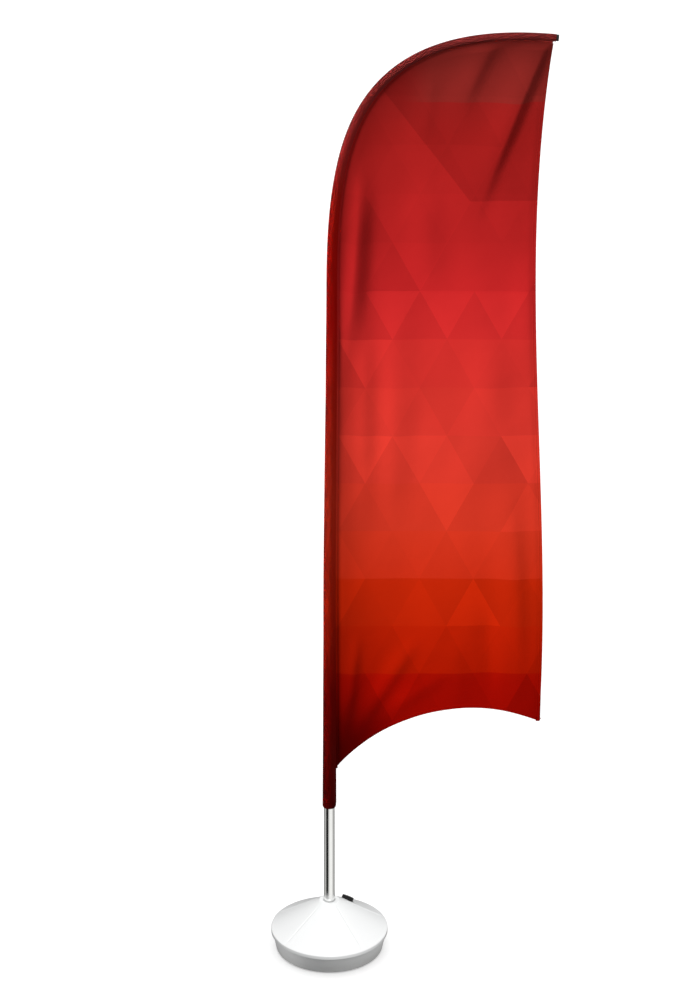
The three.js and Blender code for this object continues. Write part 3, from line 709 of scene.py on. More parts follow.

# %% [markdown]
# ## How the banner hangs
# Tension pulls the cloth into a few long folds. They run down from the arch, fan out from the lower
# corner by the mast and soften towards the middle, and the free edge curls back. Each fold is given by
# its two ends, how far it bows between them, its height and its width on each side, and one function adds
# them all up. The banner, its hems and its stitches ask that same function, so they can't come apart. The
# folds are listed one by one, since the tension that makes them comes from how the cloth was cut.

# %% Folds
# Each fold: its top, its foot, how far it bows towards the free edge, its height, and its width to the left
# and to the right.
FOLDS = [
    ((0.555, 3.415), (0.410, 3.070), -0.015, 0.0110, 0.055, 0.028),
    ((0.745, 3.500), (0.450, 2.665), -0.010, 0.0170, 0.070, 0.022),
    ((0.330, 3.280), (0.285, 2.945), 0.003, 0.0040, 0.045, 0.030),
    ((0.110, 2.960), (0.060, 2.140), 0.000, 0.0230, 0.022, 0.036),
    ((0.110, 2.435), (0.110, 1.480), 0.003, 0.0050, 0.030, 0.030),
    ((0.210, 2.480), (0.210, 1.405), 0.002, 0.0060, 0.040, 0.050),
    ((0.090, 1.220), (0.035, 0.735), 0.008, 0.0070, 0.024, 0.020),
    ((0.300, 1.190), (0.045, 0.735), -0.004, 0.0070, 0.034, 0.026),
    ((0.420, 1.060), (0.130, 0.835), -0.006, 0.0030, 0.030, 0.026),
    ((0.570, 1.780), (0.600, 0.860), 0.017, 0.0090, 0.060, 0.034),
    ((0.505, 1.300), (0.525, 0.860), 0.000, -0.0060, 0.040, 0.034),
    ((0.405, 1.200), (0.420, 0.880), 0.003, 0.0040, 0.040, 0.036),
    ((0.490, 2.335), (0.550, 1.700), 0.007, 0.0070, 0.080, 0.060),
    ((0.295, 2.870), (0.305, 2.385), 0.011, 0.0060, 0.060, 0.050),
    ((0.625, 2.615), (0.640, 2.140), 0.007, 0.0050, 0.045, 0.034),
]
FREE_CURL = 0.003
FREE_CURL_WIDTH = 0.030


def smooth_step(low, high, value):
    t = np.clip((value - low) / (high - low), 0, 1)
    return t * t * (3 - 2 * t)


def bowed_line(top, foot, bow, count=24):
    """A line from top to foot that bows sideways, most in its middle."""
    top, foot = np.array(top), np.array(foot)
    way = foot - top
    sideways = np.array([-way[1], way[0]]) / np.linalg.norm(way)
    t = np.linspace(0, 1, count)[:, None]
    return top + way * t + sideways * (bow * 4 * t * (1 - t))


def nearest_on(line, points):
    """For each point: its distance from the line, left of it positive, and how far along the line that is."""
    start, way = line[:-1], np.diff(line, axis=0)
    long = np.linalg.norm(way, axis=1)
    keep = long > 1e-9
    start, way, long = start[keep], way[keep], long[keep]
    before = np.concatenate([[0], np.cumsum(long)])
    best = np.full(len(points), np.inf)
    side = np.zeros(len(points))
    along = np.zeros(len(points))
    for i in range(len(start)):
        offset = points - start[i]
        t = np.clip(offset @ way[i] / long[i] ** 2, 0, 1)
        away = offset - t[:, None] * way[i]
        distance = np.hypot(away[:, 0], away[:, 1])
        closer = distance < best
        turn = way[i][0] * offset[:, 1] - way[i][1] * offset[:, 0]
        best = np.where(closer, distance, best)
        side = np.where(closer, np.sign(turn), side)
        along = np.where(closer, (before[i] + t * long[i]) / before[-1], along)
    return best * side, along


seam_line = seam_edge[::12]
free_line = free_edge[::24]
fold_lines = [(bowed_line(*fold[:3]), *fold[3:]) for fold in FOLDS]


def hang(points):
    """How far in front of its own flat plane the cloth stands, for rows of (x, z)."""
    points = np.asarray(points, float)
    x, z = points[:, 0], points[:, 1]
    front = np.zeros(len(points))
    for line, height, left, right in fold_lines:
        side, along = nearest_on(line, points)
        # The lines run downwards, so the left of the banner is on their right hand.
        width = np.where(side < 0, left, right)
        fade = smooth_step(0, 0.35, along) * smooth_step(1.02, 0.5, along)
        front += height * fade * np.exp(-((side / width) ** 2))
    front += 0.0020 * np.sin(14 * x + 3.1 * z + 1.3 * np.sin(2.3 * z)) * np.sin(4.1 * z - 5 * x)
    front += 0.0007 * np.sin(37 * x - 9 * z + 2 * np.sin(5 * z)) * np.sin(8.7 * z + 11 * x)
    from_free = np.abs(nearest_on(free_line, points)[0])
    curl = smooth_step(0.75, 1.15, z) * smooth_step(3.36, 3.0, z) * 0.7 + 0.3
    front -= FREE_CURL * curl * smooth_step(FREE_CURL_WIDTH, 0, from_free) ** 1.4
    from_seam = np.abs(nearest_on(seam_line, points)[0])
    return front * smooth_step(0.004, 0.034, from_seam)


print("folds:", len(FOLDS))

# %% [markdown]
# ## The banner
# The grid of the banner carries two more things for its finish: where each point lay in the flat cloth,
# so that the print is printed on the cloth and not on the air, and how close it is to the sleeve, where
# the cloth's colour is darkened as painted shade.

# %% Banner
ACROSS = 132
UPWARD = 440
SEWN_UNDER = 0.006
BANNER_THICKNESS = 0.0006

inner_free = moved_sideways(free_edge, SEWN_UNDER)
inner_hollow = moved_sideways(hollow_edge, SEWN_UNDER)
u = np.linspace(0, 1, ACROSS)
v = np.linspace(0, 1, UPWARD)
left = at_shares(seam_edge, v)
right = at_shares(inner_free, v)
foot = at_shares(inner_hollow, u)
left = left + (foot[0] - left[0]) * (1 - v)[:, None] ** 8
right = right + (foot[-1] - right[0]) * (1 - v)[:, None] ** 8
head = left[-1] + (right[-1] - left[-1]) * u[:, None]
uu, vv = u[None, :, None], v[:, None, None]
flat = (1 - uu) * left[:, None] + uu * right[:, None] + (1 - vv) * foot[None] + vv * head[None]
flat -= (1 - uu) * (1 - vv) * left[0] + uu * (1 - vv) * right[0]
flat -= (1 - uu) * vv * left[-1] + uu * vv * right[-1]
flat = flat.reshape(-1, 2)


def add_flat_map(piece, flat_points):
    """Keeps each point's place in the flat cloth as a UV map, in metres."""
    layer = piece.data.uv_layers.new(name="flat_cloth")
    corners = np.empty(len(piece.data.loops), np.int32)
    piece.data.loops.foreach_get("vertex_index", corners)
    layer.data.foreach_set("uv", np.asarray(flat_points, np.float32)[corners].ravel())


def cloth_skin(name, flat_points, rows, columns):
    """A grid of flat cloth points hung in its folds."""
    points = np.stack([flat_points[:, 0], -hang(flat_points), flat_points[:, 1]], axis=1)
    piece = make_piece(name, points, grid_faces(rows, columns), 80)
    add_flat_map(piece, flat_points)
    return piece


def thicken(piece, thickness):
    """Gives a surface its thickness, half of it to each side."""
    cloth = piece.modifiers.new("cloth", "SOLIDIFY")
    cloth.thickness = thickness
    cloth.offset = 0
    return bake_modifiers(piece)


banner = cloth_skin("banner", flat, UPWARD, ACROSS)
thicken(banner, BANNER_THICKNESS)
settle(banner, "mast", "panel_cloth", "banner_panel")

# %% [markdown]
# ## The hems
# The free edge and the hollow edge are folded over and sewn, which makes a strip three layers thick. Each
# hem is its own strip of grid along its edge, rounded across its width so that the fold at the very edge
# catches light.

# %% Hems
HEM_THICKNESS = 0.0014


def hem_strip(name, edge, along_count, *stands_for):
    line = at_shares(edge, np.linspace(0, 1, along_count))
    across = np.linspace(0, HEM_WIDTH, 7)
    rows = [moved_sideways(line, distance) for distance in across]
    points = np.stack(rows, axis=1).reshape(-1, 2)
    piece = cloth_skin(name, points, along_count, len(across))
    thicken(piece, HEM_THICKNESS)
    edges = piece.modifiers.new("fold", "BEVEL")
    edges.width = 0.0005
    edges.segments = 2
    edges.limit_method = "ANGLE"
    edges.angle_limit = math.radians(50)
    bake_modifiers(piece)
    return settle(piece, "mast", "panel_cloth", *stands_for)


free_hem = hem_strip("free_edge_hem", free_edge, 400, "fly_hem")
hollow_hem = hem_strip("hollow_edge_hem", hollow_edge, 130, "bottom_hem")

# %% [markdown]
# ## The seam strip
# Beside the sleeve lie the two turned-in layers that join it to the banner. They make a flat strip with a
# raised outer edge, which is the fine light line that runs beside the whole sleeve. It is a strip of grid
# like the hems, with its height drawn across it: thin at the sleeve, and highest just before its outer
# edge.

# %% Seam strip
STRIP_WIDTH = 0.0075
strip_across = STRIP_WIDTH * np.array([0, 0.30, 0.52, 0.68, 0.80, 0.92, 1])
strip_height = np.array([0.0004, 0.0006, 0.0011, 0.0015, 0.0016, 0.0012, 0.0004])
strip_line = at_shares(seam_edge, np.linspace(0, 1, 460))
strip_rows = [moved_sideways(strip_line, -distance) for distance in strip_across]
strip_flat = np.stack(strip_rows, axis=1).reshape(-1, 2)
strip_up = np.tile(strip_height, len(strip_line))
hung = hang(strip_flat)
strip_front = np.stack([strip_flat[:, 0], -(hung + strip_up), strip_flat[:, 1]], axis=1)
strip_back = np.stack([strip_flat[:, 0], -(hung - strip_up), strip_flat[:, 1]], axis=1)
columns = len(strip_across)
strip_ring = np.concatenate(
    [strip_front.reshape(-1, columns, 3), strip_back.reshape(-1, columns, 3)[:, ::-1]], axis=1
)
strip_faces = grid_faces(len(strip_line), 2 * columns, wrap_columns=True)
last_ring = (len(strip_line) - 1) * 2 * columns
strip_faces += [tuple(range(2 * columns)), tuple(last_ring + i for i in range(2 * columns))]
seam_strip = make_piece("sleeve_seam_strip", strip_ring.reshape(-1, 3), strip_faces, 75)
strip_cloth = strip_flat.reshape(-1, columns, 2)
add_flat_map(seam_strip, np.concatenate([strip_cloth, strip_cloth[:, ::-1]], axis=1).reshape(-1, 2))
settle(seam_strip, "mast", "panel_cloth")

# %% [markdown]
# ## The stitching
# A flag is held together by rows of lockstitch, and close up they are what makes cloth look sewn. Each
# stitch is a small rounded bar laid on the cloth. The rows are built in one go: one bar is made, and its
# points are placed at every stitch along the seam.

# %% Stitches
STITCH_LENGTH = 0.0034
STITCH_GAP = 0.0012
THREAD_RADIUS = 0.00028
SMALL_STEP = 0.0006
HEM_STITCH_IN = 0.0098
SEAM_STITCH_OUT = 0.0085
HEM_FACE = 0.00078
SEAM_FACE = 0.0005
bar_ends = [(-0.5, 0.35), (-0.38, 0.9), (0.38, 0.9), (0.5, 0.35)]
bar_sides = 6


def stitch_row(name, line, front_of):
    """A row of stitches on both faces of the cloth, along rows of flat (x, z) points."""
    s = lengths_along(line)
    count = int(s[-1] / (STITCH_LENGTH + STITCH_GAP))
    middles = (np.arange(count) + 0.5) / count
    places = at_shares(line, middles)
    ahead = at_shares(line, np.minimum(middles + SMALL_STEP, 1))
    ahead -= at_shares(line, np.maximum(middles - SMALL_STEP, 0))
    ahead /= np.linalg.norm(ahead, axis=1)[:, None]
    points, faces = [], []
    last = (len(bar_ends) - 1) * bar_sides
    bar_faces = grid_faces(len(bar_ends), bar_sides, wrap_columns=True)
    bar_faces.append(tuple(range(bar_sides)))
    bar_faces.append(tuple(last + k for k in reversed(range(bar_sides))))
    for face in (1, -1):
        heights = {end: front_of(places + ahead * end * STITCH_LENGTH, face) for end, _ in bar_ends}
        for i in range(count):
            base = len(points)
            for end, thick in bar_ends:
                centre = places[i] + ahead[i] * end * STITCH_LENGTH
                for k in range(bar_sides):
                    turn = 2 * math.pi * k / bar_sides
                    out = THREAD_RADIUS * thick * math.cos(turn)
                    up = THREAD_RADIUS * thick * math.sin(turn)
                    x = centre[0] - ahead[i][1] * out
                    z = centre[1] + ahead[i][0] * out
                    points.append((x, -(heights[end][i] + up), z))
            faces += [tuple(base + corner for corner in bar_face) for bar_face in bar_faces]
    piece = make_piece(name, points, faces, 80)
    return settle(piece, "mast", "sleeve_cloth")


def on_hem(points, face):
    return hang(points) + face * HEM_FACE


free_row = moved_sideways(free_edge, HEM_STITCH_IN)[::4]
hollow_row = moved_sideways(hollow_edge, HEM_STITCH_IN)[::4]
free_stitches = stitch_row("free_edge_stitches", free_row, on_hem)
hollow_stitches = stitch_row("hollow_edge_stitches", hollow_row, on_hem)


def on_seam(points, face):
    return hang(points) + face * SEAM_FACE


stitched_line = seam_centre + seam_side * (sleeve_radius(seam_stations) + SEAM_STITCH_OUT)[:, None]
seam_stitches = stitch_row("sleeve_seam_stitches", stitched_line[::4], on_seam)
faces_in_bar = (len(bar_ends) - 1) * bar_sides + 2
stitch_faces = sum(len(row.data.polygons) for row in (free_stitches, hollow_stitches, seam_stitches))
print("stitches:", stitch_faces // faces_in_bar)

# %% [markdown]
# ## Building a finish
# A finish is a small graph of nodes that ends in one shader. A few little helpers keep every graph
# readable: they make a node and plug or set its inputs, do arithmetic, mix colours, and start a new
# finish. Values that are the same all over a surface are set on the shader itself.

# %% Finish helpers
def add_node(tree, kind, **inputs):
    made = tree.nodes.new("ShaderNode" + kind)
    for key, value in inputs.items():
        socket = made.inputs[int(key[1:])] if key[0] == "_" else made.inputs[key.replace("_", " ")]
        if isinstance(value, bpy.types.NodeSocket):
            tree.links.new(value, socket)
        else:
            socket.default_value = value
    return made


def compute(tree, operation, *values):
    """One step of arithmetic on values or on the outputs of other nodes."""
    made = tree.nodes.new("ShaderNodeMath")
    made.operation = operation
    for socket, value in zip(made.inputs, values):
        if isinstance(value, bpy.types.NodeSocket):
            tree.links.new(value, socket)
        else:
            socket.default_value = value
    return made.outputs[0]


def multiply(tree, first, *others):
    for other in others:
        first = compute(tree, "MULTIPLY", first, other)
    return first


def spread(tree, value, low, high, new_low, new_high, smooth=False):
    """Carries the range from low to high over to the range from new_low to new_high."""
    made = add_node(tree, "MapRange", Value=value)
    if smooth:
        made.interpolation_type = "SMOOTHSTEP"
    for socket, number in zip(made.inputs[1:5], (low, high, new_low, new_high)):
        socket.default_value = number
    return made.outputs[0]


def shade(tree, color, value):
    """The colour multiplied by a grey value."""
    made = add_node(tree, "VectorMath", _0=color)
    made.operation = "SCALE"
    tree.links.new(value, made.inputs["Scale"])
    return made.outputs[0]


def blend_colors(tree, share, first, second):
    made = tree.nodes.new("ShaderNodeMix")
    made.data_type = "RGBA"
    for socket, value in zip((made.inputs[0], made.inputs[6], made.inputs[7]), (share, first, second)):
        if isinstance(value, bpy.types.NodeSocket):
            tree.links.new(value, socket)
        else:
            socket.default_value = value
    return made.outputs[2]


def linear(red, green, blue):
    """A colour given as it looks on a screen, 0 to 255, as the shader needs it."""
    shares = [value / 255 for value in (red, green, blue)]
    parts = [((c + 0.055) / 1.055) ** 2.4 if c > 0.04 else c / 12.92 for c in shares]
    return (*parts, 1)


def new_finish(name, **fixed):
    finish = bpy.data.materials.new(name)
    finish.use_nodes = True
    tree = finish.node_tree
    shader = tree.nodes["Principled BSDF"]
    for key, value in fixed.items():
        shader.inputs[key.replace("_", " ")].default_value = value
    return finish, tree, shader


def noise(tree, where, scale, detail=3.0, roughness=0.5):
    made = add_node(tree, "TexNoise", Vector=where, Scale=scale, Detail=detail, Roughness=roughness)
    return made.outputs["Fac"]


def place(tree, squeeze=(1, 1, 1)):
    """The point on the piece, in metres, squeezed along each axis."""
    coordinates = tree.nodes.new("ShaderNodeTexCoord").outputs["Object"]
    made = add_node(tree, "Mapping", Vector=coordinates)
    made.inputs["Scale"].default_value = squeeze
    return made.outputs[0]


def bump(tree, shader, height, distance, strength=1.0):
    made = add_node(tree, "Bump", Height=height, Distance=distance, Strength=strength)
    tree.links.new(made.outputs[0], shader.inputs["Normal"])


# %% [markdown]
# ## Plastics and rubbers
# Blow-moulded white plastic is glossy but never flat: the mould leaves a faint orange-peel, and low on
# the wall it is darker, partly a haze left by handling and partly painted shade. The cap's plastic has a
# fine spark-eroded grain. Rubber is dull, and picks up dust.

# %% Plastic and rubber finishes
def make_white_plastic():
    finish, tree, shader = new_finish("white_plastic", Coat_Weight=0.2, Coat_Roughness=0.15, IOR=1.5)
    where = place(tree)
    clouds = noise(tree, where, 9, 5, 0.6)
    height = add_node(tree, "SeparateXYZ", Vector=where).outputs["Z"]
    # Darker low on the wall: partly a haze of dust, partly painted shade.
    low = spread(tree, height, 0.0, 0.055, 1, 0, smooth=True)
    dusty = compute(tree, "MULTIPLY", low, spread(tree, clouds, 0.35, 0.75, 0.2, 0.6))
    color = blend_colors(tree, dusty, linear(224, 225, 225), linear(158, 156, 153))
    tone = spread(tree, clouds, 0.2, 0.8, 0.985, 1.0)
    tree.links.new(shade(tree, color, tone), shader.inputs["Base Color"])
    scuffs = noise(tree, place(tree, (1, 1, 6)), 60, 6, 0.7)
    tree.links.new(spread(tree, scuffs, 0.35, 0.7, 0.28, 0.36), shader.inputs["Roughness"])
    bump(tree, shader, noise(tree, where, 260, 3), 0.0003, 0.03)
    return finish


def make_black_plastic():
    finish, tree, shader = new_finish("black_plastic", IOR=1.5, Specular_IOR_Level=0.3)
    where = place(tree)
    wear = noise(tree, where, 110, 5, 0.65)
    color = blend_colors(tree, spread(tree, wear, 0.5, 0.8, 0, 0.5), linear(17, 17, 18), linear(38, 38, 39))
    tree.links.new(color, shader.inputs["Base Color"])
    tree.links.new(spread(tree, wear, 0.3, 0.7, 0.34, 0.52), shader.inputs["Roughness"])
    grain = add_node(tree, "TexVoronoi", Vector=where, Scale=2600.0).outputs["Distance"]
    bump(tree, shader, grain, 0.0001, 0.35)
    return finish


def make_rubber(name, dark, dusty):
    finish, tree, shader = new_finish(name, Sheen_Weight=0.08, Sheen_Roughness=0.5)
    where = place(tree)
    dust = noise(tree, where, 70, 5, 0.6)
    color = blend_colors(tree, spread(tree, dust, 0.45, 0.8, 0, 0.7), dark, dusty)
    tree.links.new(color, shader.inputs["Base Color"])
    tree.links.new(spread(tree, dust, 0.2, 0.8, 0.55, 0.8), shader.inputs["Roughness"])
    bump(tree, shader, noise(tree, where, 1800, 2), 0.0001, 0.5)
    return finish


def make_nylon():
    finish, tree, shader = new_finish("nylon", Subsurface_Weight=0.1)
    where = place(tree)
    color = blend_colors(tree, noise(tree, where, 40), linear(226, 222, 208), linear(208, 203, 186))
    tree.links.new(color, shader.inputs["Base Color"])
    tree.links.new(spread(tree, noise(tree, where, 300), 0.3, 0.7, 0.32, 0.46), shader.inputs["Roughness"])
    bump(tree, shader, noise(tree, place(tree, (1, 1, 12)), 900), 0.0001, 0.3)
    return finish


# %% [markdown]
# ## Metals and the fibreglass rod
# The lower mast is drawn and then polished, so what is left of the tool marks runs lengthwise and shows
# only as a slight change of gloss. The inner tube is left as drawn, and the bearings are bright steel
# turned round their axis. Fibreglass shows its lengthwise fibres under a thin resin skin.

# %% Metal and fibreglass finishes
def make_metal(name, color, gloss, squeeze, scale, depth):
    finish, tree, shader = new_finish(name, Metallic=1.0)
    where = place(tree)
    marks = noise(tree, place(tree, squeeze), scale, 4, 0.6)
    haze = noise(tree, where, 14, 4)
    marked = spread(tree, marks, 0.3, 0.7, 0.95, 1.0)
    tone = multiply(tree, marked, spread(tree, haze, 0.3, 0.7, 0.96, 1.0))
    base = tree.nodes.new("ShaderNodeRGB")
    base.outputs[0].default_value = color
    tree.links.new(shade(tree, base.outputs[0], tone), shader.inputs["Base Color"])
    dull = spread(tree, marks, 0.3, 0.7, gloss, gloss * 1.5)
    rough = compute(tree, "ADD", dull, spread(tree, haze, 0.4, 0.7, 0.0, 0.03))
    tree.links.new(rough, shader.inputs["Roughness"])
    bump(tree, shader, marks, depth, 0.25)
    return finish


def make_fibreglass():
    finish, tree, shader = new_finish("fibreglass", Coat_Weight=0.6, Coat_Roughness=0.15)
    fibres = noise(tree, place(tree, (1, 1, 0.02)), 1400, 4, 0.7)
    color = blend_colors(tree, spread(tree, fibres, 0.35, 0.65, 0, 1), linear(52, 53, 50), linear(92, 92, 84))
    tree.links.new(color, shader.inputs["Base Color"])
    tree.links.new(spread(tree, fibres, 0.3, 0.7, 0.3, 0.45), shader.inputs["Roughness"])
    bump(tree, shader, fibres, 0.0001, 0.3)
    return finish


# %% [markdown]
# ## Cloth
# Both cloths are knitted polyester with a soft sheen at glancing angles. The knit is a fine bump of two
# crossed waves. The banner is printed: a lattice of triangles, each a shade lighter or darker than the
# next, over a red that deepens towards the foot. In the corner by the mast and beside the sleeve the red
# is darkened further as painted shade, and the sleeve's red is painted darker over the arch as shade too.
# That painted shade is in the colour and not made by a lamp, so it stays under any light. The lattice is
# arithmetic on the flat cloth's own coordinates, so it is sharp at any distance and follows the cloth
# into its folds.

# %% Sleeve cloth
KNIT_PITCH = 0.0011
# Dyed polyester gives its gloss its own colour, so both the sheen and the highlight are tinted.
CLOTH_GLOSS = {
    "Sheen_Weight": 0.03,
    "Sheen_Roughness": 0.4,
    "Sheen_Tint": linear(255, 60, 45),
    "Specular_IOR_Level": 0.05,
    "Specular_Tint": linear(255, 60, 45),
}


def knit(tree, across, up, pitch):
    """A height that rises and falls with the loops of a knit, with across and up in metres."""
    loops = compute(tree, "SINE", compute(tree, "MULTIPLY", across, 2 * math.pi / pitch))
    rows = compute(tree, "SINE", compute(tree, "MULTIPLY", up, 2 * math.pi / (0.8 * pitch)))
    return compute(tree, "MULTIPLY", compute(tree, "ABSOLUTE", loops), rows)


# The sleeve's reds by height. The darker reds at the top, over the arch, are painted shade, where less light
# falls on the sleeve.
SLEEVE_REDS_AND_SHADE = [
    (0.03, (60, 1, 1)),
    (0.08, (68, 2, 1)),
    (0.16, (85, 2, 1)),
    (0.276, (126, 20, 5)),
    (0.407, (137, 30, 16)),
    (0.534, (131, 20, 10)),
    (0.634, (131, 9, 5)),
    (0.724, (131, 11, 6)),
    (0.786, (124, 16, 10)),
    (0.845, (120, 28, 26)),
    (0.95, (94, 30, 29)),
]


def make_sleeve_cloth():
    finish, tree, shader = new_finish("sleeve_cloth", **CLOTH_GLOSS)
    where = place(tree)
    split = add_node(tree, "SeparateXYZ", Vector=where)
    height = split.outputs["Z"]
    ramp = tree.nodes.new("ShaderNodeValToRGB")
    tree.links.new(spread(tree, height, 0.5, 3.4, 0, 1), ramp.inputs[0])
    fill_ramp(ramp, SLEEVE_REDS_AND_SHADE)
    streaks = noise(tree, place(tree, (1, 1, 0.12)), 46, 5, 0.6)
    tone = spread(tree, streaks, 0.25, 0.75, 0.86, 1.08)
    tree.links.new(shade(tree, ramp.outputs[0], tone), shader.inputs["Base Color"])
    tree.links.new(spread(tree, streaks, 0.3, 0.7, 0.62, 0.78), shader.inputs["Roughness"])
    around = compute(tree, "MULTIPLY", compute(tree, "ARCTAN2", split.outputs["Y"], split.outputs["X"]), 0.02)
    threads = knit(tree, around, height, KNIT_PITCH)
    uneven = compute(tree, "MULTIPLY", noise(tree, where, 420, 3), 0.8)
    bump(tree, shader, compute(tree, "ADD", threads, uneven), 0.00012, 0.45)
    return finish


def fill_ramp(ramp, stops):
    elements = ramp.color_ramp.elements
    while len(elements) > 1:
        elements.remove(elements[-1])
    for i, (at, color) in enumerate(stops):
        element = elements[0] if i == 0 else elements.new(at)
        element.position = at
        element.color = linear(*color)


# %% Printed banner cloth
TRIANGLE_SIDE = 0.1745
ROW_HEIGHT = 0.1773
FIRST_ROW = 1.0336
LATTICE_START = -0.0583
BANNER_FOOT = 0.65
BANNER_HEAD = 3.40
LARGE_FROM = FIRST_ROW + 8 * ROW_HEIGHT
BROWN_FROM = 3.140
# Two long slanting lines of the print run from near the sleeve to a turn, and from there back towards it.
SLANT_HEAD = (0.215, 3.120)
SLANT_TURN = (0.450, 2.780)
SLANT_FOOT = (0.290, 2.455)
PAINTED_SHADE_CORNER = (0.02, 0.68, 0.0)
BANNER_REDS = [
    (0.05, (144, 4, 1)),
    (0.12, (156, 11, 2)),
    (0.155, (174, 24, 2)),
    (0.25, (202, 40, 9)),
    (0.33, (216, 56, 34)),
    (0.45, (222, 58, 46)),
    (0.61, (210, 44, 43)),
    (0.655, (200, 38, 39)),
    (0.72, (184, 34, 34)),
    (0.86, (170, 32, 30)),
    (1.00, (150, 36, 33)),
]


def triangles(tree, across, up, size, seed):
    """A random value for each triangle of a lattice, and the height of its row, both from the flat cloth."""
    row = compute(tree, "DIVIDE", compute(tree, "SUBTRACT", up, FIRST_ROW), ROW_HEIGHT * size)
    shift = compute(tree, "DIVIDE", compute(tree, "SUBTRACT", across, LATTICE_START), TRIANGLE_SIDE * size)
    slant = compute(tree, "SUBTRACT", shift, compute(tree, "MULTIPLY", row, 0.5))
    row_number = compute(tree, "FLOOR", row)
    column = compute(tree, "FLOOR", slant)
    over = compute(tree, "ADD", compute(tree, "FRACT", row), compute(tree, "FRACT", slant))
    half = compute(tree, "GREATER_THAN", over, 1.0)
    key = add_node(tree, "CombineXYZ", X=column, Y=row_number, Z=compute(tree, "ADD", half, seed))
    chance = tree.nodes.new("ShaderNodeTexWhiteNoise")
    tree.links.new(key.outputs[0], chance.inputs["Vector"])
    return chance.outputs["Value"], row_number, half


def right_of(tree, across, up, head, foot, softness=0.001):
    """1 to the right of the line from head to foot, and 0 to the left of it."""
    way_x, way_z = foot[0] - head[0], foot[1] - head[1]
    long = math.hypot(way_x, way_z)
    by_x = compute(tree, "MULTIPLY", compute(tree, "SUBTRACT", across, head[0]), -way_z / long)
    by_z = compute(tree, "MULTIPLY", compute(tree, "SUBTRACT", up, head[1]), way_x / long)
    return spread(tree, compute(tree, "ADD", by_x, by_z), -softness, softness, 0, 1)


def above(tree, up, level, softness=0.001):
    return spread(tree, up, level - softness, level + softness, 0, 1)


def make_panel_cloth():
    finish, tree, shader = new_finish("panel_cloth", **CLOTH_GLOSS)
    flat_map = tree.nodes.new("ShaderNodeUVMap")
    flat_map.uv_map = "flat_cloth"
    split = add_node(tree, "SeparateXYZ", Vector=flat_map.outputs[0])
    across, up = split.outputs["X"], split.outputs["Y"]
    small, row_number, half = triangles(tree, across, up, 1.0, 0.0)
    large, _, _ = triangles(tree, across, up, 2.0, 7.0)
    # Below the large triangles, the ramp goes up in steps, one for each row.
    row_middle = multiply(tree, compute(tree, "ADD", row_number, 0.5), ROW_HEIGHT)
    stepped = compute(tree, "ADD", row_middle, FIRST_ROW)
    by_row = spread(tree, up, LARGE_FROM - 0.012, LARGE_FROM + 0.008, 0.45, 0.0)
    to_row = multiply(tree, compute(tree, "SUBTRACT", stepped, up), by_row)
    level = compute(tree, "ADD", up, to_row)
    ramp = tree.nodes.new("ShaderNodeValToRGB")
    tree.links.new(spread(tree, level, BANNER_FOOT, BANNER_HEAD, 0, 1), ramp.inputs[0])
    fill_ramp(ramp, BANNER_REDS)
    # The small triangles grow faint above the middle of the banner, where mostly large ones are printed.
    fine = spread(tree, up, LARGE_FROM - 0.012, LARGE_FROM + 0.008, 1.0, 0.25)
    away = compute(tree, "SUBTRACT", spread(tree, small, 0, 1, 0.905, 1.065), 1.0)
    upper_right = right_of(tree, across, up, SLANT_HEAD, SLANT_TURN)
    high = multiply(tree, upper_right, above(tree, up, SLANT_TURN[1]))
    lower_right = right_of(tree, across, up, SLANT_TURN, SLANT_FOOT)
    lighter = multiply(tree, lower_right, above(tree, up, LARGE_FROM))
    # Painted shade: the red darkens towards the corner by the mast.
    from_corner = add_node(tree, "VectorMath", _0=flat_map.outputs[0], _1=PAINTED_SHADE_CORNER)
    from_corner.operation = "DISTANCE"
    # Painted shade: this attribute darkens the cloth beside the sleeve.
    sleeve_shade = tree.nodes.new("ShaderNodeAttribute")
    sleeve_shade.attribute_name = "painted_sleeve_shade"
    tone = multiply(
        tree,
        compute(tree, "ADD", multiply(tree, away, fine), 1.0),
        spread(tree, large, 0, 1, 0.94, 1.05),
        spread(tree, half, 0, 1, 0.985, 1.015),
        spread(tree, across, 0.35, 0.70, 1.0, 0.93, smooth=True),
        spread(tree, high, 0, 1, 1.0, 0.82),
        spread(tree, lighter, 0, 1, 1.0, 1.06),
        spread(tree, from_corner.outputs["Value"], 0.05, 0.36, 0.32, 1.0, smooth=True),
        spread(tree, sleeve_shade.outputs["Fac"], 0, 1, 1.0, 0.56),
    )
    threads = noise(tree, flat_map.outputs[0], 900, 2)
    tone = multiply(tree, tone, spread(tree, threads, 0.2, 0.8, 0.97, 1.03))
    towards_free = spread(tree, across, 0.22, 0.34, 0.0, 1.0, smooth=True)
    head = multiply(tree, above(tree, up, BROWN_FROM), towards_free)
    brown = blend_colors(tree, spread(tree, head, 0, 1, 0.0, 0.3), ramp.outputs[0], linear(128, 58, 50))
    tree.links.new(shade(tree, brown, tone), shader.inputs["Base Color"])
    tree.links.new(spread(tree, threads, 0.2, 0.8, 0.60, 0.74), shader.inputs["Roughness"])
    creased = noise(tree, flat_map.outputs[0], 18, 4, 0.55)
    knitted = multiply(tree, knit(tree, across, up, KNIT_PITCH), 0.12)
    height = compute(tree, "ADD", knitted, multiply(tree, creased, 3.0))
    bump(tree, shader, height, 0.0011, 0.35)
    return finish


# %% [markdown]
# ## Giving out the finishes
# Each slot of the record has one finish. Parts that were made here take theirs from a table that lists
# them by finish, and the imported parts that stay in view, such as the bearings and the inner mast, get
# the same finishes.

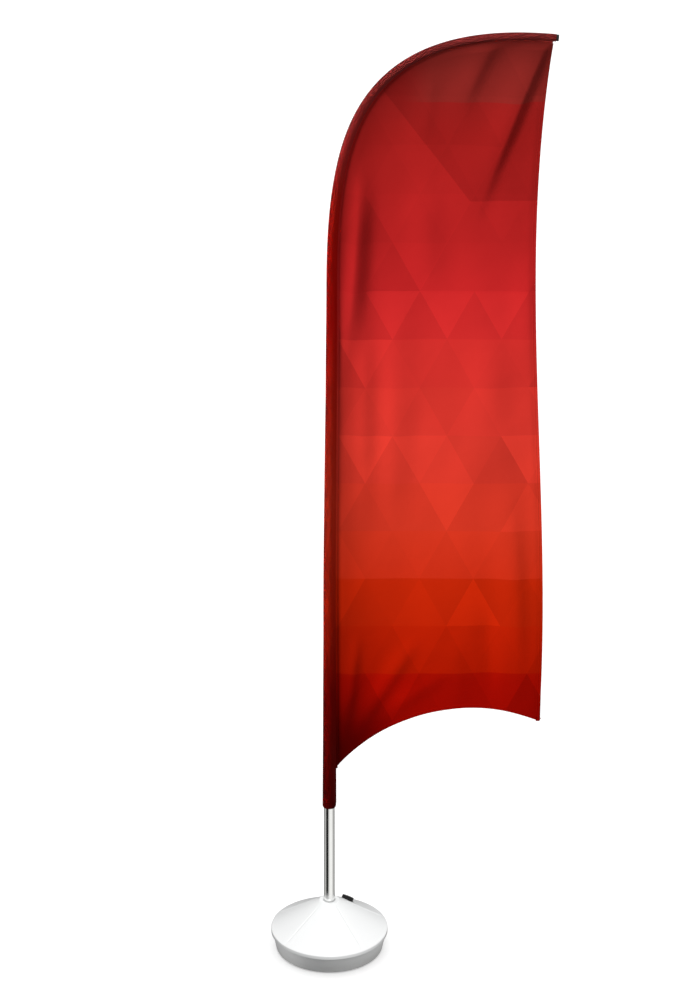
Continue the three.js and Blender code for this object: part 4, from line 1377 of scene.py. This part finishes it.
# %% Put the finishes on
# How close each point of the cloth lies to the sleeve, which sets the painted shade beside it.
SLEEVE_SHADE_WIDTH = 0.095
for piece in (banner, free_hem, hollow_hem, seam_strip):
    points = np.empty(len(piece.data.vertices) * 3, np.float32)
    piece.data.vertices.foreach_get("co", points)
    from_seam = np.abs(nearest_on(seam_line, points.reshape(-1, 3)[:, (0, 2)])[0])
    beside = piece.data.attributes.new("painted_sleeve_shade", "FLOAT", "POINT")
    beside.data.foreach_set("value", np.exp(-((from_seam / SLEEVE_SHADE_WIDTH) ** 1.4)).astype(np.float32))

finishes = {
    "white_plastic": make_white_plastic(),
    "black_plastic": make_black_plastic(),
    "nylon": make_nylon(),
    "seal_rubber": make_rubber("seal_rubber", linear(26, 26, 27), linear(58, 56, 54)),
    "grey_rubber": make_rubber("grey_rubber", linear(186, 187, 187), linear(200, 200, 198)),
    "polished_tube": make_metal("polished_tube", linear(246, 246, 245), 0.10, (1, 1, 0.01), 900, 0.00003),
    "plain_tube": make_metal("plain_tube", linear(196, 199, 202), 0.28, (1, 1, 0.02), 900, 0.00006),
    "steel": make_metal("steel", linear(188, 190, 192), 0.20, (1, 1, 40), 60, 0.00004),
    "fibreglass": make_fibreglass(),
    "sleeve_cloth": make_sleeve_cloth(),
    "panel_cloth": make_panel_cloth(),
}
slot_of = {part["node"]: part["material_slot"] for part in frame["record"]["subparts"]}
for node, kept in nodes.items():
    if not kept.material_slots:
        kept.data.materials.append(finishes[slot_of[node]])
    for holder in kept.material_slots:
        holder.material = finishes[slot_of[node]]
made_here = {
    "white_plastic": [shell, neck, thread, pan],
    "black_plastic": [cap, tip_cap],
    "seal_rubber": [foot_ring],
    "grey_rubber": [mast_seal],
    "polished_tube": [lower_mast],
    "sleeve_cloth": [sleeve, cuff, webbing, free_stitches, hollow_stitches, seam_stitches],
    "panel_cloth": [banner, free_hem, hollow_hem, seam_strip],
}
for name, pieces in made_here.items():
    for piece in pieces:
        piece.data.materials.clear()
        piece.data.materials.append(finishes[name])
print("finishes:", len(finishes))

# %% [markdown]

# %% [markdown]
# ## Floor and light
# The flag stands on a wide pale floor that glows a little. Soft light comes from above all round. Each
# other lamp falls on chosen pieces alone, as a photographer flags off a lamp: the key from the front left
# draws the folds and leaves out the floor, the tank and its cap, a softer one from the front falls on the
# upper shell, two from the sides on the pan, and a fill from the right on the sleeve. So the base casts
# only a soft shadow. A polished tube is nothing but what it reflects, so the world has a second face for
# reflections: broad panels of light and dark round the horizon.

# %% Floor
FLOOR_HALF = 120
FLOOR_LEVEL = -0.0004
FLOOR_GLOW = 0.28
floor_corners = [(-1, -1), (1, -1), (1, 1), (-1, 1)]
floor_points = [(FLOOR_HALF * x, FLOOR_HALF * y, FLOOR_LEVEL) for x, y in floor_corners]
floor = make_piece("floor", floor_points, [(0, 1, 2, 3)])
floor_finish, floor_tree, floor_shader = new_finish("pale_floor", Roughness=0.9, Specular_IOR_Level=0.1)
floor_shader.inputs["Base Color"].default_value = linear(244, 244, 244)
floor_shader.inputs["Emission Color"].default_value = (1, 1, 1, 1)
floor_shader.inputs["Emission Strength"].default_value = FLOOR_GLOW
floor.data.materials.append(floor_finish)
floor.visible_glossy = False
floor.visible_diffuse = False

# %% Lights
bpy.context.scene.view_settings.view_transform = "Standard"


def sun(name, energy, width, comes_from, lit):
    """A far lamp that looks width degrees wide and falls on the lit pieces alone."""
    data = bpy.data.lights.new(name, "SUN")
    data.energy = energy
    data.angle = math.radians(width)
    lamp = bpy.data.objects.new(name, data)
    lamp.rotation_euler = (-Vector(comes_from)).to_track_quat("-Z", "Y").to_euler()
    bpy.context.scene.collection.objects.link(lamp)
    group = bpy.data.collections.new("lit_by_" + name)
    for piece in lit:
        group.objects.link(piece)
    lamp.light_linking.receiver_collection = group


not_by_key = (floor, shell, pan, mast_seal, foot_ring, cap)
meshes = [piece for piece in bpy.context.scene.objects if piece.type == "MESH"]
sun("key", 3.6, 14, (-1.0, -0.62, 0.60), [piece for piece in meshes if piece not in not_by_key])
sun("top", 1.45, 30, (0.1, -0.74, 0.66), [shell, neck, thread, mast_seal])
sun("side", 1.15, 50, (-1, 0.04, 0.10), [pan, foot_ring])
sun("side", 1.15, 50, (1, 0.04, 0.10), [pan, foot_ring])
sun("fill", 0.9, 40, (0.75, -1.0, 0.35), [sleeve, seam_strip, seam_stitches])

world = bpy.data.worlds.new("studio")
bpy.context.scene.world = world
world.use_nodes = True
sky = world.node_tree
direction = sky.nodes.new("ShaderNodeTexCoord").outputs["Generated"]
towards = add_node(sky, "SeparateXYZ", Vector=direction).outputs
from_sides = multiply(sky, compute(sky, "ABSOLUTE", towards["X"]), 0.25)
overhead = compute(sky, "ADD", spread(sky, towards["Z"], -0.03, 1.0, 0.05, 1.38), from_sides)
bearing = compute(sky, "ARCTAN2", towards["X"], multiply(sky, towards["Y"], -1.0))
panels = sky.nodes.new("ShaderNodeValToRGB")
sky.links.new(spread(sky, bearing, -math.pi, math.pi, 0, 1), panels.inputs[0])
fill_ramp(
    panels,
    [
        (0.00, (130, 130, 130)),
        (0.10, (88, 88, 88)),
        (0.20, (180, 180, 179)),
        (0.27, (186, 186, 185)),
        (0.315, (36, 36, 36)),
        (0.43, (24, 24, 24)),
        (0.475, (225, 225, 223)),
        (0.56, (255, 255, 253)),
        (0.66, (255, 255, 253)),
        (0.73, (205, 205, 203)),
        (0.85, (140, 140, 139)),
        (1.00, (130, 130, 130)),
    ],
)
below = spread(sky, towards["Z"], -0.05, 0.25, 1.0, 0.0)
ray = sky.nodes.new("ShaderNodeLightPath")
soft = add_node(sky, "CombineXYZ", X=overhead, Y=overhead, Z=overhead).outputs[0]
reflected = compute(sky, "MULTIPLY", ray.outputs["Is Glossy Ray"], below)
surroundings = blend_colors(sky, reflected, soft, panels.outputs[0])
sky.links.new(surroundings, sky.nodes["Background"].inputs["Color"])
print("lamps:", len(bpy.data.lights))
